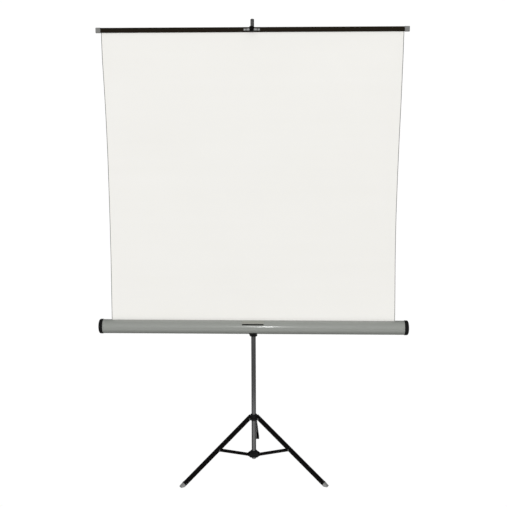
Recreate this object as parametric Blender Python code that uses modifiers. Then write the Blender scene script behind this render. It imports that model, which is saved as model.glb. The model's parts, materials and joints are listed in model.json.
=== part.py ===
"""Tripod projection screen, open and extended.

Metres, +Z up, the screen faces -Y. The object is modelled about its pole's
axis, in an empty that puts the middle of its footprint at the origin.
"""
import math

import bmesh
import bpy
from mathutils import Matrix, Vector

MM = 0.001

# ---------------------------------------------------------------- dimensions
Y_POLE = -0.1086            # pole axis, so that the footprint is centred

# screen
FABRIC_W = 1.524            # 60 in sheet
FABRIC_T = 0.6 * MM
SCREEN_Y = -68.0 * MM       # plane of the sheet, ahead of the pole
SLAT_Z0, SLAT_Z1 = 2.396, 2.421
SLAT_D = 13.0 * MM
SLAT_LEN = 1.585            # over the caps
SLAT_CAP_L = 25.0 * MM

# case
CASE_R = 38.1 * MM
CASE_WALL = 1.2 * MM
CASE_LEN = 1.668            # over the caps
CASE_Z = 0.854
SLOT_HALF = 4.0 * MM
ROLLER_R = 14.0 * MM
ROLLER_Y = SCREEN_Y + 14.8 * MM

# telescoping pole
POLE_R, POLE_RI = 12.7 * MM, 11.5 * MM
MAST_R, MAST_RI = 11.1 * MM, 9.9 * MM
ROD_R, ROD_RI = 9.525 * MM, 8.3 * MM
POLE_Z0, POLE_Z1 = 0.074, 0.800
MAST_Z0, MAST_Z1 = 0.130, 1.340
ROD_Z0, ROD_Z1 = 1.225, 2.4584
ROD_TOP = 2.4657

# tripod
HUB_R, HUB_Z = 32.0 * MM, 0.312          # leg pivots
FOOT_R = 0.447                           # where a leg's line meets the floor
LEG_ANGLE = math.atan2(FOOT_R - HUB_R, HUB_Z)
LEG_W, LEG_T = 25.0 * MM, 1.4 * MM
LEG_IN, LEG_OUT = 8.0 * MM, 10.0 * MM     # open edge and back of a leg, from its pivot line
LEG_TOP = 20.0 * MM                      # how far a leg runs past its pivot
LEG_END = 0.490                          # pivot to the foot's shoulder
STRUT_AT, STRUT_IN = 0.237, 2.0 * MM     # strut pin, along and inside the leg
COLLAR_R, COLLAR_Z = 30.0 * MM, 0.100    # strut pins on the lower collar
STRUT_W, STRUT_T = 13.0 * MM, 1.2 * MM
STRUT_OPEN, STRUT_BACK = 5.5 * MM, 10.0 * MM
AZIMUTHS = (-59.4, 63.3, 179.3)          # from the front (-Y), towards +X

GAP = 0.3 * MM


# ---------------------------------------------------------------- scene
for old in list(bpy.data.objects):
    bpy.data.objects.remove(old, do_unlink=True)

parts_col = bpy.data.collections.new("tripod_projection_screen")
cut_col = bpy.data.collections.new("cutters")
bpy.context.scene.collection.children.link(parts_col)
bpy.context.scene.collection.children.link(cut_col)

FRAMES = {}
CUTTERS = {}


def material(name, colour, roughness, metallic):
    m = bpy.data.materials.new(name)
    m.use_nodes = True
    b = m.node_tree.nodes["Principled BSDF"]
    b.inputs["Base Color"].default_value = (*colour, 1.0)
    b.inputs["Roughness"].default_value = roughness
    b.inputs["Metallic"].default_value = metallic
    return m


PAINT_GREY = material("case_paint", (0.31, 0.32, 0.30), 0.38, 0.1)
TUBE_GREY = material("tube_metal", (0.33, 0.33, 0.33), 0.30, 0.9)
BLACK_PL = material("black_plastic", (0.012, 0.012, 0.012), 0.42, 0.0)
BLACK_EN = material("black_enamel", (0.016, 0.013, 0.010), 0.30, 0.2)
GREY_PL = material("grey_plastic", (0.25, 0.25, 0.25), 0.55, 0.0)
SLAT_BR = material("slat_finish", (0.020, 0.015, 0.010), 0.25, 0.1)
CHROME = material("chrome", (0.70, 0.70, 0.68), 0.15, 1.0)
STEEL = material("zinc_steel", (0.45, 0.45, 0.44), 0.35, 1.0)
FABRIC = material("white_fabric", (0.86, 0.85, 0.82), 0.90, 0.0)
ROLLER = material("roller_steel", (0.40, 0.40, 0.39), 0.40, 0.8)
NYLON = material("nylon", (0.55, 0.54, 0.50), 0.50, 0.0)


def add(name, mesh, mat, frame=None, cutter=False):
    ob = bpy.data.objects.new(name, mesh)
    (cut_col if cutter else parts_col).objects.link(ob)
    FRAMES[name] = frame.copy() if frame else Matrix.Identity(4)
    ob.matrix_world = FRAMES[name]
    if cutter:
        ob.hide_render = True
        ob.display_type = "WIRE"
    else:
        mesh.materials.append(mat)
    return ob


def smooth(mesh, degrees=35.0):
    mesh.shade_smooth()
    mesh.set_sharp_from_angle(angle=math.radians(degrees))


def turned(name, profile, mat, frame=None, closed=False, steps=24, cutter=False):
    """A profile of (radius, height) turned about the local Z axis.

    It runs down the outer side; a closed profile goes back up the inner side.
    """
    mesh = bpy.data.meshes.new(name)
    n = len(profile)
    edges = [(i, i + 1) for i in range(n - 1)]
    if closed:
        edges.append((n - 1, 0))
    mesh.from_pydata([(r, 0.0, z) for r, z in profile], edges, [])
    ob = add(name, mesh, mat, frame, cutter)
    sc = ob.modifiers.new("turn", "SCREW")
    sc.axis = "Z"
    sc.angle = math.tau
    sc.steps = steps
    sc.render_steps = steps
    sc.use_smooth_shade = True
    sc.use_merge_vertices = True
    sc.merge_threshold = 0.00001
    return ob


def ring(name, r_out, r_in, z0, z1, mat, frame=None, steps=24, cutter=False):
    return turned(name, [(r_out, z1), (r_out, z0), (r_in, z0), (r_in, z1)],
                  mat, frame, True, steps, cutter)


def rod(name, r, z0, z1, mat=None, frame=None, steps=14, cutter=False):
    return turned(name, [(0.0, z1), (r, z1), (r, z0), (0.0, z0)],
                  mat, frame, False, steps, cutter)


def prism(name, loop, half, mat=None, frame=None, cutter=False, holes=()):
    """A closed outline in the local XY plane, thick by half to both sides."""
    cu = bpy.data.curves.new(name + "_outline", "CURVE")
    cu.dimensions = "2D"
    cu.fill_mode = "BOTH"
    cu.extrude = half
    for pts in (loop, *holes):
        sp = cu.splines.new("POLY")
        sp.points.add(len(pts) - 1)
        for p, (x, y) in zip(sp.points, pts):
            p.co = (x, y, 0.0, 1.0)
        sp.use_cyclic_u = True
    tmp = bpy.data.objects.new(name + "_outline", cu)
    parts_col.objects.link(tmp)
    dg = bpy.context.evaluated_depsgraph_get()
    mesh = bpy.data.meshes.new_from_object(tmp.evaluated_get(dg))
    mesh.name = name
    bpy.data.objects.remove(tmp, do_unlink=True)
    bpy.data.curves.remove(cu)
    mesh.materials.clear()
    bm = bmesh.new()
    bm.from_mesh(mesh)
    bmesh.ops.remove_doubles(bm, verts=bm.verts, dist=1e-6)
    bmesh.ops.dissolve_limit(bm, angle_limit=math.radians(0.5), verts=bm.verts, edges=bm.edges)
    bmesh.ops.recalc_face_normals(bm, faces=bm.faces)
    bm.to_mesh(mesh)
    bm.free()
    smooth(mesh)
    return add(name, mesh, mat, frame, cutter)


def block(name, lo, hi, mat=None, frame=None, cutter=False):
    """A box between two corners."""
    mesh = bpy.data.meshes.new(name)
    bm = bmesh.new()
    bmesh.ops.create_cube(bm, size=1.0)
    c = [(a + b) / 2 for a, b in zip(lo, hi)]
    d = [b - a for a, b in zip(lo, hi)]
    for v in bm.verts:
        v.co = Vector((c[i] + v.co[i] * d[i] for i in range(3)))
    bm.to_mesh(mesh)
    bm.free()
    return add(name, mesh, mat, frame, cutter)


def boolean(target, tool, operation="DIFFERENCE"):
    m = target.modifiers.new(operation.lower(), "BOOLEAN")
    m.operation = operation
    m.solver = "EXACT"
    m.object = tool
    CUTTERS.setdefault(target.name, []).append(tool)


def bevel(target, width, segments=2, angle=40.0):
    m = target.modifiers.new("edges", "BEVEL")
    m.width = width
    m.segments = segments
    m.limit_method = "ANGLE"
    m.angle_limit = math.radians(angle)


def arc(cx, cy, r, a0, a1, n):
    """Points on an arc, degrees, both ends included."""
    out = []
    for i in range(n + 1):
        a = math.radians(a0 + (a1 - a0) * i / n)
        out.append((cx + r * math.cos(a), cy + r * math.sin(a)))
    return out


def round_rect(x0, y0, x1, y1, r, n=3):
    return (arc(x1 - r, y1 - r, r, 0, 90, n) + arc(x0 + r, y1 - r, r, 90, 180, n)
            + arc(x0 + r, y0 + r, r, 180, 270, n) + arc(x1 - r, y0 + r, r, 270, 360, n))


def axes(x, y, z, at=(0.0, 0.0, 0.0)):
    """A frame whose local axes are the three given directions."""
    m = Matrix.Identity(4)
    for i, v in enumerate((x, y, z)):
        v = Vector(v).normalized()
        m[0][i], m[1][i], m[2][i] = v
    m.translation = Vector(at)
    return m


# ---------------------------------------------------------------- bodies
stand = bpy.data.objects.new("stand_frame", None)
parts_col.objects.link(stand)
stand.location = (0.0, Y_POLE, 0.0)


def body(name, at):
    e = bpy.data.objects.new(name, None)
    parts_col.objects.link(e)
    e.parent = stand
    e.location = at
    return e


def carry(empty, *obs):
    """Parts and their cutters ride on an empty that sits on the joint."""
    shift = Matrix.Translation(-empty.location)
    for ob in obs:
        for o in [ob] + CUTTERS.get(ob.name, []):
            o.parent = empty
            o.matrix_parent_inverse = Matrix.Identity(4)
            o.matrix_basis = shift @ FRAMES[o.name]


# frames used again: local XY is the (y, z) plane, local Z runs along +X
SIDE = axes((0, 1, 0), (0, 0, 1), (1, 0, 0))
BACK = axes((1, 0, 0), (0, 0, -1), (0, 1, 0))      # local Z runs along +Y


def back_at(x, z):
    f = BACK.copy()
    f.translation = Vector((x, 0.0, z))
    return f


# ---------------------------------------------------------------- pole
pole_b = body("pole_body", (0, 0, 0))
pole_tube = ring("pole_tube", POLE_R, POLE_RI, POLE_Z0, POLE_Z1, TUBE_GREY)
pole_tip = turned("pole_tip", [(0, 0.092), (10.4 * MM, 0.092), (11.2 * MM, 0.0905),
                               (11.2 * MM, POLE_Z0 - GAP), (12.7 * MM, POLE_Z0 - GAP),
                               (12.5 * MM, 0.0702), (10.4 * MM, 0.0681), (0, 0.0676)],
                  GREY_PL, steps=20)

strut_collar = turned("strut_collar",
                      [(15.5 * MM, 0.1165), (18.8 * MM, 0.1148), (21.6 * MM, 0.1100), (22.0 * MM, 0.1035),
                       (20.6 * MM, 0.0960), (18.6 * MM, 0.0890), (17.0 * MM, 0.0850), (16.4 * MM, 0.0810),
                       (15.4 * MM, 0.0795), (13.0 * MM, 0.0795), (13.0 * MM, 0.1165)],
                      BLACK_PL, closed=True, steps=24)
PIN_R, LUG_R, NOTCH = 1.6 * MM, 3.9 * MM, 2.0 * MM


def lug_outline():
    cx, cz = COLLAR_R, COLLAR_Z
    low = -math.degrees(math.acos(NOTCH / LUG_R))
    pts = [(15.5 * MM, cz + 11.5 * MM), (21.0 * MM, cz + 9.0 * MM)]
    pts += arc(cx, cz, LUG_R, 100, low, 6)
    pts += arc(cx, cz, NOTCH, 0, 180, 4)
    pts += [(cx - 4.6 * MM, cz - 7.0 * MM), (15.5 * MM, cz - 9.0 * MM)]
    return pts


def radial(az):
    """Radial plane of a leg: local X outwards, local Y up, local Z across."""
    a = math.radians(az)
    er = Vector((math.sin(a), -math.cos(a), 0.0))
    return axes(er, (0, 0, 1), er.cross(Vector((0, 0, 1))))


def cheek_outline():
    """Side view of one cheek of a fork that a strut's end sits in."""
    return [(12.8 * MM, 0.0802), (20.0 * MM, 0.0804), (28.0 * MM, 0.0822), (33.0 * MM, 0.0865),
            (35.0 * MM, 0.0930), (35.0 * MM, 0.1020), (32.5 * MM, 0.1070), (27.0 * MM, 0.1105),
            (20.0 * MM, 0.1130), (12.8 * MM, 0.1140)]


for i, az in enumerate(AZIMUTHS, 1):
    lug = prism(f"collar_lug_{i}", lug_outline(), 4.25 * MM, frame=radial(az), cutter=True)
    boolean(strut_collar, lug, "UNION")
    for k, side in ((1, -9.3 * MM), (2, 9.3 * MM)):
        cheek = prism(f"collar_cheek_{i}_{k}", cheek_outline(), 1.1 * MM,
                      frame=radial(az) @ Matrix.Translation((0, 0, side)), cutter=True)
        boolean(strut_collar, cheek, "UNION")
screw_hole = rod("collar_screw_hole", 2.3 * MM, -26 * MM, -11 * MM, frame=back_at(0, 0.105),
                 cutter=True)
boolean(strut_collar, screw_hole)
collar_screw = turned("collar_screw", [(0, -13.1 * MM), (2.0 * MM, -13.1 * MM), (2.0 * MM, -22.8 * MM),
                                       (3.4 * MM, -22.8 * MM), (3.2 * MM, -24.1 * MM), (0, -24.6 * MM)],
                      BLACK_EN, frame=back_at(0, 0.105), steps=10)

COL_Z0, COL_Z1 = 0.784, 0.832
pole_collar = turned("pole_collar",
                     [(19.6 * MM, COL_Z1), (21.0 * MM, 0.830), (21.0 * MM, 0.7853), (20.2 * MM, COL_Z0),
                      (13.0 * MM, COL_Z0), (13.0 * MM, POLE_Z1 + GAP),
                      (11.45 * MM, POLE_Z1 + GAP), (11.45 * MM, COL_Z1)],
                     BLACK_PL, closed=True, steps=24)
KNOB_Z = 0.8145
boss = rod("pole_boss", 8.0 * MM, 16.0 * MM, 27.0 * MM, frame=back_at(0, KNOB_Z), cutter=True)
boolean(pole_collar, boss, "UNION")
boss_hole = rod("pole_boss_hole", 3.4 * MM, 9.0 * MM, 29.0 * MM, frame=back_at(0, KNOB_Z), cutter=True)
boolean(pole_collar, boss_hole)
carry(pole_b, pole_tube, pole_tip, strut_collar, collar_screw, pole_collar)


def knob(prefix, z, face, tip):
    """Six-lobed clamp knob behind the pole, with its screw along +Y."""
    n, pts = 36, []
    for k in range(n):
        a = math.tau * k / n
        r = (13.6 + 1.9 * math.cos(6 * a)) * MM
        pts.append((r * math.cos(a), r * math.sin(a)))
    f = back_at(0, z)
    f = f @ Matrix.Translation((0, 0, face + 6.5 * MM))
    head = prism(prefix + "_knob", pts, 6.0 * MM, BLACK_PL, f)
    bevel(head, 1.6 * MM, 1)
    hole = rod(prefix + "_knob_hole", 3.3 * MM, face - 2 * MM, face + 9.0 * MM, frame=back_at(0, z),
               cutter=True)
    boolean(head, hole)
    stud = rod(prefix + "_knob_stud", 3.0 * MM, tip, face + 8.6 * MM, STEEL, back_at(0, z), 14)
    b = body(prefix + "_knob_body", (0, face, z))
    carry(b, head, stud)


knob("pole", KNOB_Z, 27.3 * MM, MAST_R + 0.5 * MM)

# ---------------------------------------------------------------- leg hub
hub_b = body("hub_body", (0, 0, HUB_Z))
leg_hub = turned("leg_hub",
                 [(17.6 * MM, 0.3305), (20.0 * MM, 0.3282), (20.0 * MM, 0.3140), (25.0 * MM, 0.3105),
                  (25.0 * MM, 0.3015), (23.6 * MM, 0.300), (13.2 * MM, 0.300), (13.2 * MM, 0.3305)],
                 BLACK_PL, closed=True, steps=24)
HUB_PIN_R = 2.5 * MM
hub_pins = []
for i, az in enumerate(AZIMUTHS, 1):
    loop = [(15.6 * MM, HUB_Z + 15.0 * MM), (20.5 * MM, HUB_Z + 12.0 * MM)]
    loop += arc(HUB_R, HUB_Z, 5.7 * MM, 100, -100, 8)
    loop += [(15.6 * MM, HUB_Z - 9.0 * MM)]
    lug = prism(f"hub_lug_{i}", loop, 9.2 * MM, frame=radial(az), cutter=True)
    bevel(lug, 3.0 * MM, 2)
    boolean(leg_hub, lug, "UNION")
for i, az in enumerate(AZIMUTHS, 1):
    f = radial(az) @ Matrix.Translation((HUB_R, HUB_Z, 0))
    hole = rod(f"hub_pin_hole_{i}", HUB_PIN_R + GAP, -12 * MM, 12 * MM, frame=f, steps=12, cutter=True)
    boolean(leg_hub, hole)
    h0, h1 = LEG_W / 2 + GAP, LEG_W / 2 + GAP + 1.6 * MM
    pin = turned(f"hub_pin_{i}",
                 [(0, h1), (3.0 * MM, h1), (4.2 * MM, h0 + 0.5 * MM), (4.2 * MM, h0), (HUB_PIN_R, h0),
                  (HUB_PIN_R, -h0), (4.2 * MM, -h0), (4.2 * MM, -h0 - 0.5 * MM), (3.0 * MM, -h1), (0, -h1)],
                 STEEL, f, steps=10)
    hub_pins.append(pin)
carry(hub_b, leg_hub, *hub_pins)

# ---------------------------------------------------------------- legs and struts
DOWN = Vector((math.sin(LEG_ANGLE), -math.cos(LEG_ANGLE)))       # along a leg, (r, z)
INWARD = Vector((-math.cos(LEG_ANGLE), -math.sin(LEG_ANGLE)))    # to its open side
PIVOT = Vector((HUB_R, HUB_Z))
LEG_PIN = PIVOT + DOWN * STRUT_AT + INWARD * STRUT_IN
COLLAR_PIN = Vector((COLLAR_R, COLLAR_Z))
STRUT_LEN = (COLLAR_PIN - LEG_PIN).length
S_DIR = (COLLAR_PIN - LEG_PIN).normalized()                      # towards the collar
S_BACK = Vector((-S_DIR.y, S_DIR.x))                             # strut's closed side
if S_BACK.y > 0:
    S_BACK = -S_BACK


def plane_frame(rad, origin, u, v):
    """A frame in a radial plane: local X along u, local Y along v."""
    e_r = Vector(rad.col[0][:3])
    e_z = Vector(rad.col[1][:3])
    to3 = lambda p: e_r * p.x + e_z * p.y
    x, y = to3(u), to3(v)
    return axes(x, y, x.cross(y), to3(origin))


def channel(w, lo, hi, t, r, n=3):
    """Outline of a U section, closed towards -Y and open towards +Y."""
    a, ri = w / 2, r - t
    outer = [(a, hi)] + arc(a - r, lo + r, r, 0, -90, n) + arc(-a + r, lo + r, r, -90, -180, n) + [(-a, hi)]
    inner = ([(-a + t, hi)] + arc(-a + r, lo + r, ri, 180, 270, n)
             + arc(a - r, lo + r, ri, 270, 360, n) + [(a - t, hi)])
    return outer + inner


for i, az in enumerate(AZIMUTHS, 1):
    rad = radial(az)
    lf = plane_frame(rad, PIVOT, DOWN, INWARD)
    # section outline lies across the leg: local X across, local Y inwards, local Z along
    across = Vector(lf.col[2][:3])
    along = Vector(lf.col[0][:3])
    inward = Vector(lf.col[1][:3])
    if across.cross(inward).dot(along) < 0:
        across = -across
    mid = (LEG_END - LEG_TOP) / 2
    sec = axes(across, inward, along, Vector(lf.translation) + along * mid)
    leg = prism(f"leg_{i}", channel(LEG_W, -LEG_OUT, LEG_IN, LEG_T, 6.0 * MM),
                (LEG_END + LEG_TOP) / 2, BLACK_EN, sec)
    trim = prism(f"leg_trim_{i}",
                 [(LEG_END + 0.02, LEG_IN + 0.4 * MM)] + arc(0, 0, LEG_IN + 0.02 * MM, 90, 180, 5)
                 + [(-LEG_TOP - 0.05 * MM, -4.5 * MM), (-LEG_TOP - 0.05 * MM, -7.5 * MM),
                    (-LEG_TOP + 2.6 * MM, -LEG_OUT - 0.4 * MM), (LEG_END + 0.02, -LEG_OUT - 0.4 * MM)],
                 20 * MM, frame=lf, cutter=True)
    boolean(leg, trim, "INTERSECT")
    for label, u, v, r in (("hub", 0.0, 0.0, HUB_PIN_R + GAP), ("strut", STRUT_AT, STRUT_IN, 2.3 * MM)):
        hole = rod(f"leg_{label}_hole_{i}", r, -15 * MM, 15 * MM, frame=lf @ Matrix.Translation((u, v, 0)),
                   steps=12, cutter=True)
        boolean(leg, hole)

    # foot: a wedge with a flat sole on the floor, its tongue inside the leg
    def rz(u, v):
        p = PIVOT + DOWN * u + INWARD * v
        return (p.x, p.y)
    sh = LEG_END + GAP
    heel = rz(sh, 8.5 * MM)
    sole_in = heel[0] + heel[1] * math.tan(LEG_ANGLE)
    foot = prism(f"foot_{i}", [rz(sh, -10 * MM), (0.4490, 0.0080), (0.4540, 0.0036), (0.4548, 0.0),
                               (sole_in, 0.0), heel], 12.0 * MM, GREY_PL, rad)
    bevel(foot, 1.2 * MM, 2, 30)
    tongue = prism(f"foot_tongue_{i}", [rz(sh + 6 * MM, -4.5 * MM), rz(sh + 6 * MM, 6 * MM),
                                        rz(sh - 26 * MM, 6 * MM), rz(sh - 26 * MM, -4.5 * MM)],
                   8.0 * MM, frame=rad, cutter=True)
    boolean(foot, tongue, "UNION")

    # shouldered pin through the leg and the strut
    pf = lf @ Matrix.Translation((STRUT_AT, STRUT_IN, 0))
    w1 = LEG_W / 2
    ys = [(0, w1 + GAP + 1.4 * MM), (2.6 * MM, w1 + GAP + 1.4 * MM), (3.8 * MM, w1 + GAP + 0.4 * MM),
          (3.8 * MM, w1 + GAP), (2.0 * MM, w1 + GAP), (2.0 * MM, w1 - LEG_T - GAP),
          (3.6 * MM, w1 - LEG_T - GAP), (3.6 * MM, STRUT_W / 2 + GAP), (2.0 * MM, STRUT_W / 2 + GAP)]
    leg_pin = turned(f"leg_pin_{i}", ys + [(r, -z) for r, z in reversed(ys)], STEEL, pf, steps=10)
    lb = body(f"leg_body_{i}", Vector(lf.translation))
    carry(lb, leg, foot, leg_pin)

    # strut: channel with its open side up, pinned to the leg and to the collar
    sf = plane_frame(rad, LEG_PIN, S_DIR, S_BACK)
    s_along, s_back = Vector(sf.col[0][:3]), Vector(sf.col[1][:3])
    s_across = (-s_back).cross(s_along)
    s_mid = STRUT_LEN / 2
    ssec = axes(s_across, -s_back, s_along, Vector(sf.translation) + s_along * s_mid)
    end = 4.0 * MM
    strut = prism(f"strut_{i}", channel(STRUT_W, -STRUT_BACK, STRUT_OPEN, STRUT_T, 2.6 * MM, 3),
                  STRUT_LEN / 2 + end, BLACK_EN, ssec)
    c, rr = (STRUT_BACK - STRUT_OPEN) / 2, (STRUT_BACK + STRUT_OPEN) / 2
    lim = [(STRUT_LEN + end - 2.2 * MM, c - rr - 0.2 * MM), (STRUT_LEN + end + 0.05 * MM, c - rr + 2.4 * MM),
           (STRUT_LEN + end + 0.05 * MM, c + rr - 2.4 * MM), (STRUT_LEN + end - 2.2 * MM, c + rr + 0.2 * MM),
           (-end + 2.2 * MM, c + rr + 0.2 * MM), (-end - 0.05 * MM, c + rr - 2.4 * MM),
           (-end - 0.05 * MM, c - rr + 2.4 * MM), (-end + 2.2 * MM, c - rr - 0.2 * MM)]
    strim = prism(f"strut_trim_{i}", lim, 12 * MM, frame=sf, cutter=True)
    boolean(strut, strim, "INTERSECT")
    for label, u, r in (("leg", 0.0, 2.3 * MM), ("collar", STRUT_LEN, PIN_R + GAP)):
        hole = rod(f"strut_{label}_hole_{i}", r, -12 * MM, 12 * MM,
                   frame=sf @ Matrix.Translation((u, 0, 0)), steps=12, cutter=True)
        boolean(strut, hole)
    q0 = STRUT_W / 2 + GAP
    q1 = q0 + 1.0 * MM
    strut_pin = turned(f"strut_pin_{i}",
                       [(0, q1), (2.1 * MM, q1), (2.8 * MM, q0 + 0.3 * MM), (2.8 * MM, q0), (PIN_R, q0),
                        (PIN_R, -q0), (2.8 * MM, -q0), (2.8 * MM, -q0 - 0.3 * MM), (2.1 * MM, -q1), (0, -q1)],
                       STEEL, sf @ Matrix.Translation((STRUT_LEN, 0, 0)), steps=10)
    sb = body(f"strut_body_{i}", Vector(sf.translation))
    carry(sb, strut, strut_pin)

# ---------------------------------------------------------------- mast
mast_b = body("mast_body", (0, 0, COL_Z1))
mast_tube = ring("mast_tube", MAST_R, MAST_RI, MAST_Z0, MAST_Z1, TUBE_GREY)
mast_bush = turned("mast_bush", [(9.6 * MM, 0.146), (9.6 * MM, MAST_Z0 - GAP), (11.2 * MM, MAST_Z0 - GAP),
                                 (11.2 * MM, 0.118), (6.5 * MM, 0.118), (6.5 * MM, 0.146)],
                   NYLON, closed=True, steps=20)

MC_Z0, MC_Z1 = 1.322, 1.356
mast_collar = turned("mast_collar",
                     [(17.0 * MM, MC_Z1), (18.4 * MM, 1.354), (18.4 * MM, 1.336), (16.4 * MM, 1.324),
                      (15.0 * MM, MC_Z0), (11.4 * MM, MC_Z0), (11.4 * MM, MAST_Z1 + GAP),
                      (9.85 * MM, MAST_Z1 + GAP), (9.85 * MM, MC_Z1)],
                     BLACK_PL, closed=True, steps=24)
ROD_KNOB_Z = 1.3475
mboss = rod("mast_boss", 7.4 * MM, 13.5 * MM, 24.0 * MM, frame=back_at(0, ROD_KNOB_Z), cutter=True)
boolean(mast_collar, mboss, "UNION")
mhole = rod("mast_boss_hole", 3.4 * MM, 8.0 * MM, 26.0 * MM, frame=back_at(0, ROD_KNOB_Z), cutter=True)
boolean(mast_collar, mhole)

# pivot block, clamped on the mast behind the case
BL_Z0, BL_Z1 = COL_Z1 + 0.4 * MM, 0.902
block_y = -19.0 * MM
pivot_block = prism("pivot_block", round_rect(-17 * MM, block_y, 17 * MM, 17 * MM, 5 * MM, 4),
                    (BL_Z1 - BL_Z0) / 2, BLACK_PL, Matrix.Translation((0, 0, (BL_Z0 + BL_Z1) / 2)))
bevel(pivot_block, 1.0 * MM, 1, 50)
bore = rod("block_bore", MAST_R + 0.35 * MM, BL_Z0 - 0.01, BL_Z1 + 0.01, steps=24, cutter=True)
boolean(pivot_block, bore)
bolt_hole = rod("block_bolt_hole", 4.3 * MM, -25 * MM, -6 * MM, frame=back_at(0, CASE_Z), cutter=True)
boolean(pivot_block, bolt_hole)
set_hole = rod("block_set_hole", 3.3 * MM, 6 * MM, 22 * MM, frame=back_at(0, 0.884), cutter=True)
boolean(pivot_block, set_hole)
block_screw = turned("block_screw", [(0, 22.0 * MM), (5.0 * MM, 21.6 * MM), (5.4 * MM, 20.4 * MM),
                                     (5.4 * MM, 17.4 * MM), (3.0 * MM, 17.4 * MM), (3.0 * MM, 11.7 * MM),
                                     (0, 11.7 * MM)], STEEL, back_at(0, 0.884), steps=10)

# cradle round the back and underside of the case
CR_IN, CR_OUT = CASE_R + GAP, CASE_R + 4.6 * MM
loop = arc(SCREEN_Y, CASE_Z, CR_IN, 48, -135, 24)
loop += arc(SCREEN_Y, CASE_Z, CR_OUT, -135, -32, 13)
loop += [(block_y - 0.4 * MM, CASE_Z - 19 * MM), (block_y - 0.4 * MM, CASE_Z + 19 * MM)]
loop += arc(SCREEN_Y, CASE_Z, CR_OUT, 32, 48, 4)
case_cradle = prism("case_cradle", loop, 20 * MM, BLACK_PL, SIDE)
cr_hole = turned("cradle_bolt_hole",
                 [(0, -14 * MM), (4.3 * MM, -14 * MM), (4.3 * MM, -24.2 * MM), (8.2 * MM, -24.2 * MM),
                  (8.2 * MM, -40 * MM), (0, -40 * MM)], None, back_at(0, CASE_Z), steps=16, cutter=True)
boolean(case_cradle, cr_hole)
pivot_bolt = turned("pivot_bolt", [(0, -12.4 * MM), (3.2 * MM, -12.4 * MM), (4.0 * MM, -13.2 * MM),
                                   (4.0 * MM, -24.5 * MM), (7.8 * MM, -24.5 * MM), (7.8 * MM, -27.6 * MM),
                                   (6.6 * MM, -28.9 * MM), (0, -28.9 * MM)],
                    STEEL, back_at(0, CASE_Z), steps=14)

# case: rolled shell with a slot along its top, and two caps
sl = math.degrees(math.asin(SLOT_HALF / CASE_R))
ri = CASE_R - CASE_WALL
sl_in = math.degrees(math.asin((SLOT_HALF + CASE_WALL) / ri))
lip = 6.0 * MM
loop = arc(SCREEN_Y, CASE_Z, CASE_R, 90 + sl, 450 - sl, 48)
loop += [(SCREEN_Y + SLOT_HALF, CASE_Z + CASE_R - lip),
         (SCREEN_Y + SLOT_HALF + CASE_WALL, CASE_Z + CASE_R - lip)]
loop += arc(SCREEN_Y, CASE_Z, ri, 450 - sl_in, 90 + sl_in, 48)
loop += [(SCREEN_Y - SLOT_HALF - CASE_WALL, CASE_Z + CASE_R - lip),
         (SCREEN_Y - SLOT_HALF, CASE_Z + CASE_R - lip)]
SHELL_END = CASE_LEN / 2 - 8.0 * MM
case_shell = prism("case_shell", loop, SHELL_END, PAINT_GREY, SIDE)
screws = []
for i, x in ((1, -12 * MM), (2, 12 * MM)):
    f = Matrix.Translation((x, SCREEN_Y, 0))
    top = CASE_Z - CASE_R + 3.2 * MM
    h1 = rod(f"cradle_screw_hole_{i}", 2.3 * MM, CASE_Z - CASE_R - 12 * MM, top + 2 * MM, frame=f,
             steps=10, cutter=True)
    boolean(case_cradle, h1)
    h2 = rod(f"shell_screw_hole_{i}", 2.3 * MM, CASE_Z - CASE_R - 12 * MM, top + 2 * MM, frame=f,
             steps=10, cutter=True)
    boolean(case_shell, h2)
    zb = CASE_Z - CR_OUT - 0.3 * MM
    screws.append(turned(f"cradle_screw_{i}",
                         [(0, top), (2.0 * MM, top), (2.0 * MM, zb), (3.8 * MM, zb),
                          (3.4 * MM, zb - 1.5 * MM), (0, zb - 2.1 * MM)], STEEL, f, steps=10))

CAP_E = CASE_LEN / 2
caps = []
for side, s in (("left", -1), ("right", 1)):
    f = axes((0, s, 0), (0, 0, 1), (s, 0, 0), (0, SCREEN_Y, CASE_Z))
    inner = SHELL_END + 0.4 * MM
    prof = [(0, CAP_E), (18 * MM, CAP_E - 0.5 * MM), (29 * MM, CAP_E - 2.2 * MM), (35.5 * MM, CAP_E - 5.0 * MM),
            (38.6 * MM, CAP_E - 8.6 * MM), (39.8 * MM, CAP_E - 13 * MM), (39.8 * MM, CAP_E - 24.7 * MM),
            (CASE_R + 0.5 * MM, CAP_E - 24.7 * MM), (CASE_R + 0.5 * MM, inner), (0, inner + 0.6 * MM)]
    cap = turned(f"case_cap_{side}", prof, BLACK_PL, f, steps=40)
    hr = 4.4 * MM if s < 0 else 5.4 * MM
    hf = axes((0, s, 0), (0, 0, 1), (s, 0, 0), (0, ROLLER_Y, CASE_Z))
    hole = rod(f"cap_pin_hole_{side}", hr, CAP_E - 12 * MM, CAP_E - 3.2 * MM, frame=hf, cutter=True)
    boolean(cap, hole)
    caps.append(cap)

# plain plate on the front of the case
pl0, pl1 = 110, 152
loop = arc(SCREEN_Y, CASE_Z, CASE_R + 0.3 * MM, pl0, pl1, 10)
loop += arc(SCREEN_Y, CASE_Z, CASE_R + 1.3 * MM, pl1, pl0, 10)
case_plate = prism("case_plate", loop, 59 * MM, GREY_PL, SIDE)

fabric = block("screen_fabric", (-FABRIC_W / 2, SCREEN_Y - FABRIC_T / 2, 0.852),
               (FABRIC_W / 2, SCREEN_Y + FABRIC_T / 2, SLAT_Z0 + 8 * MM), FABRIC)

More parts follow.
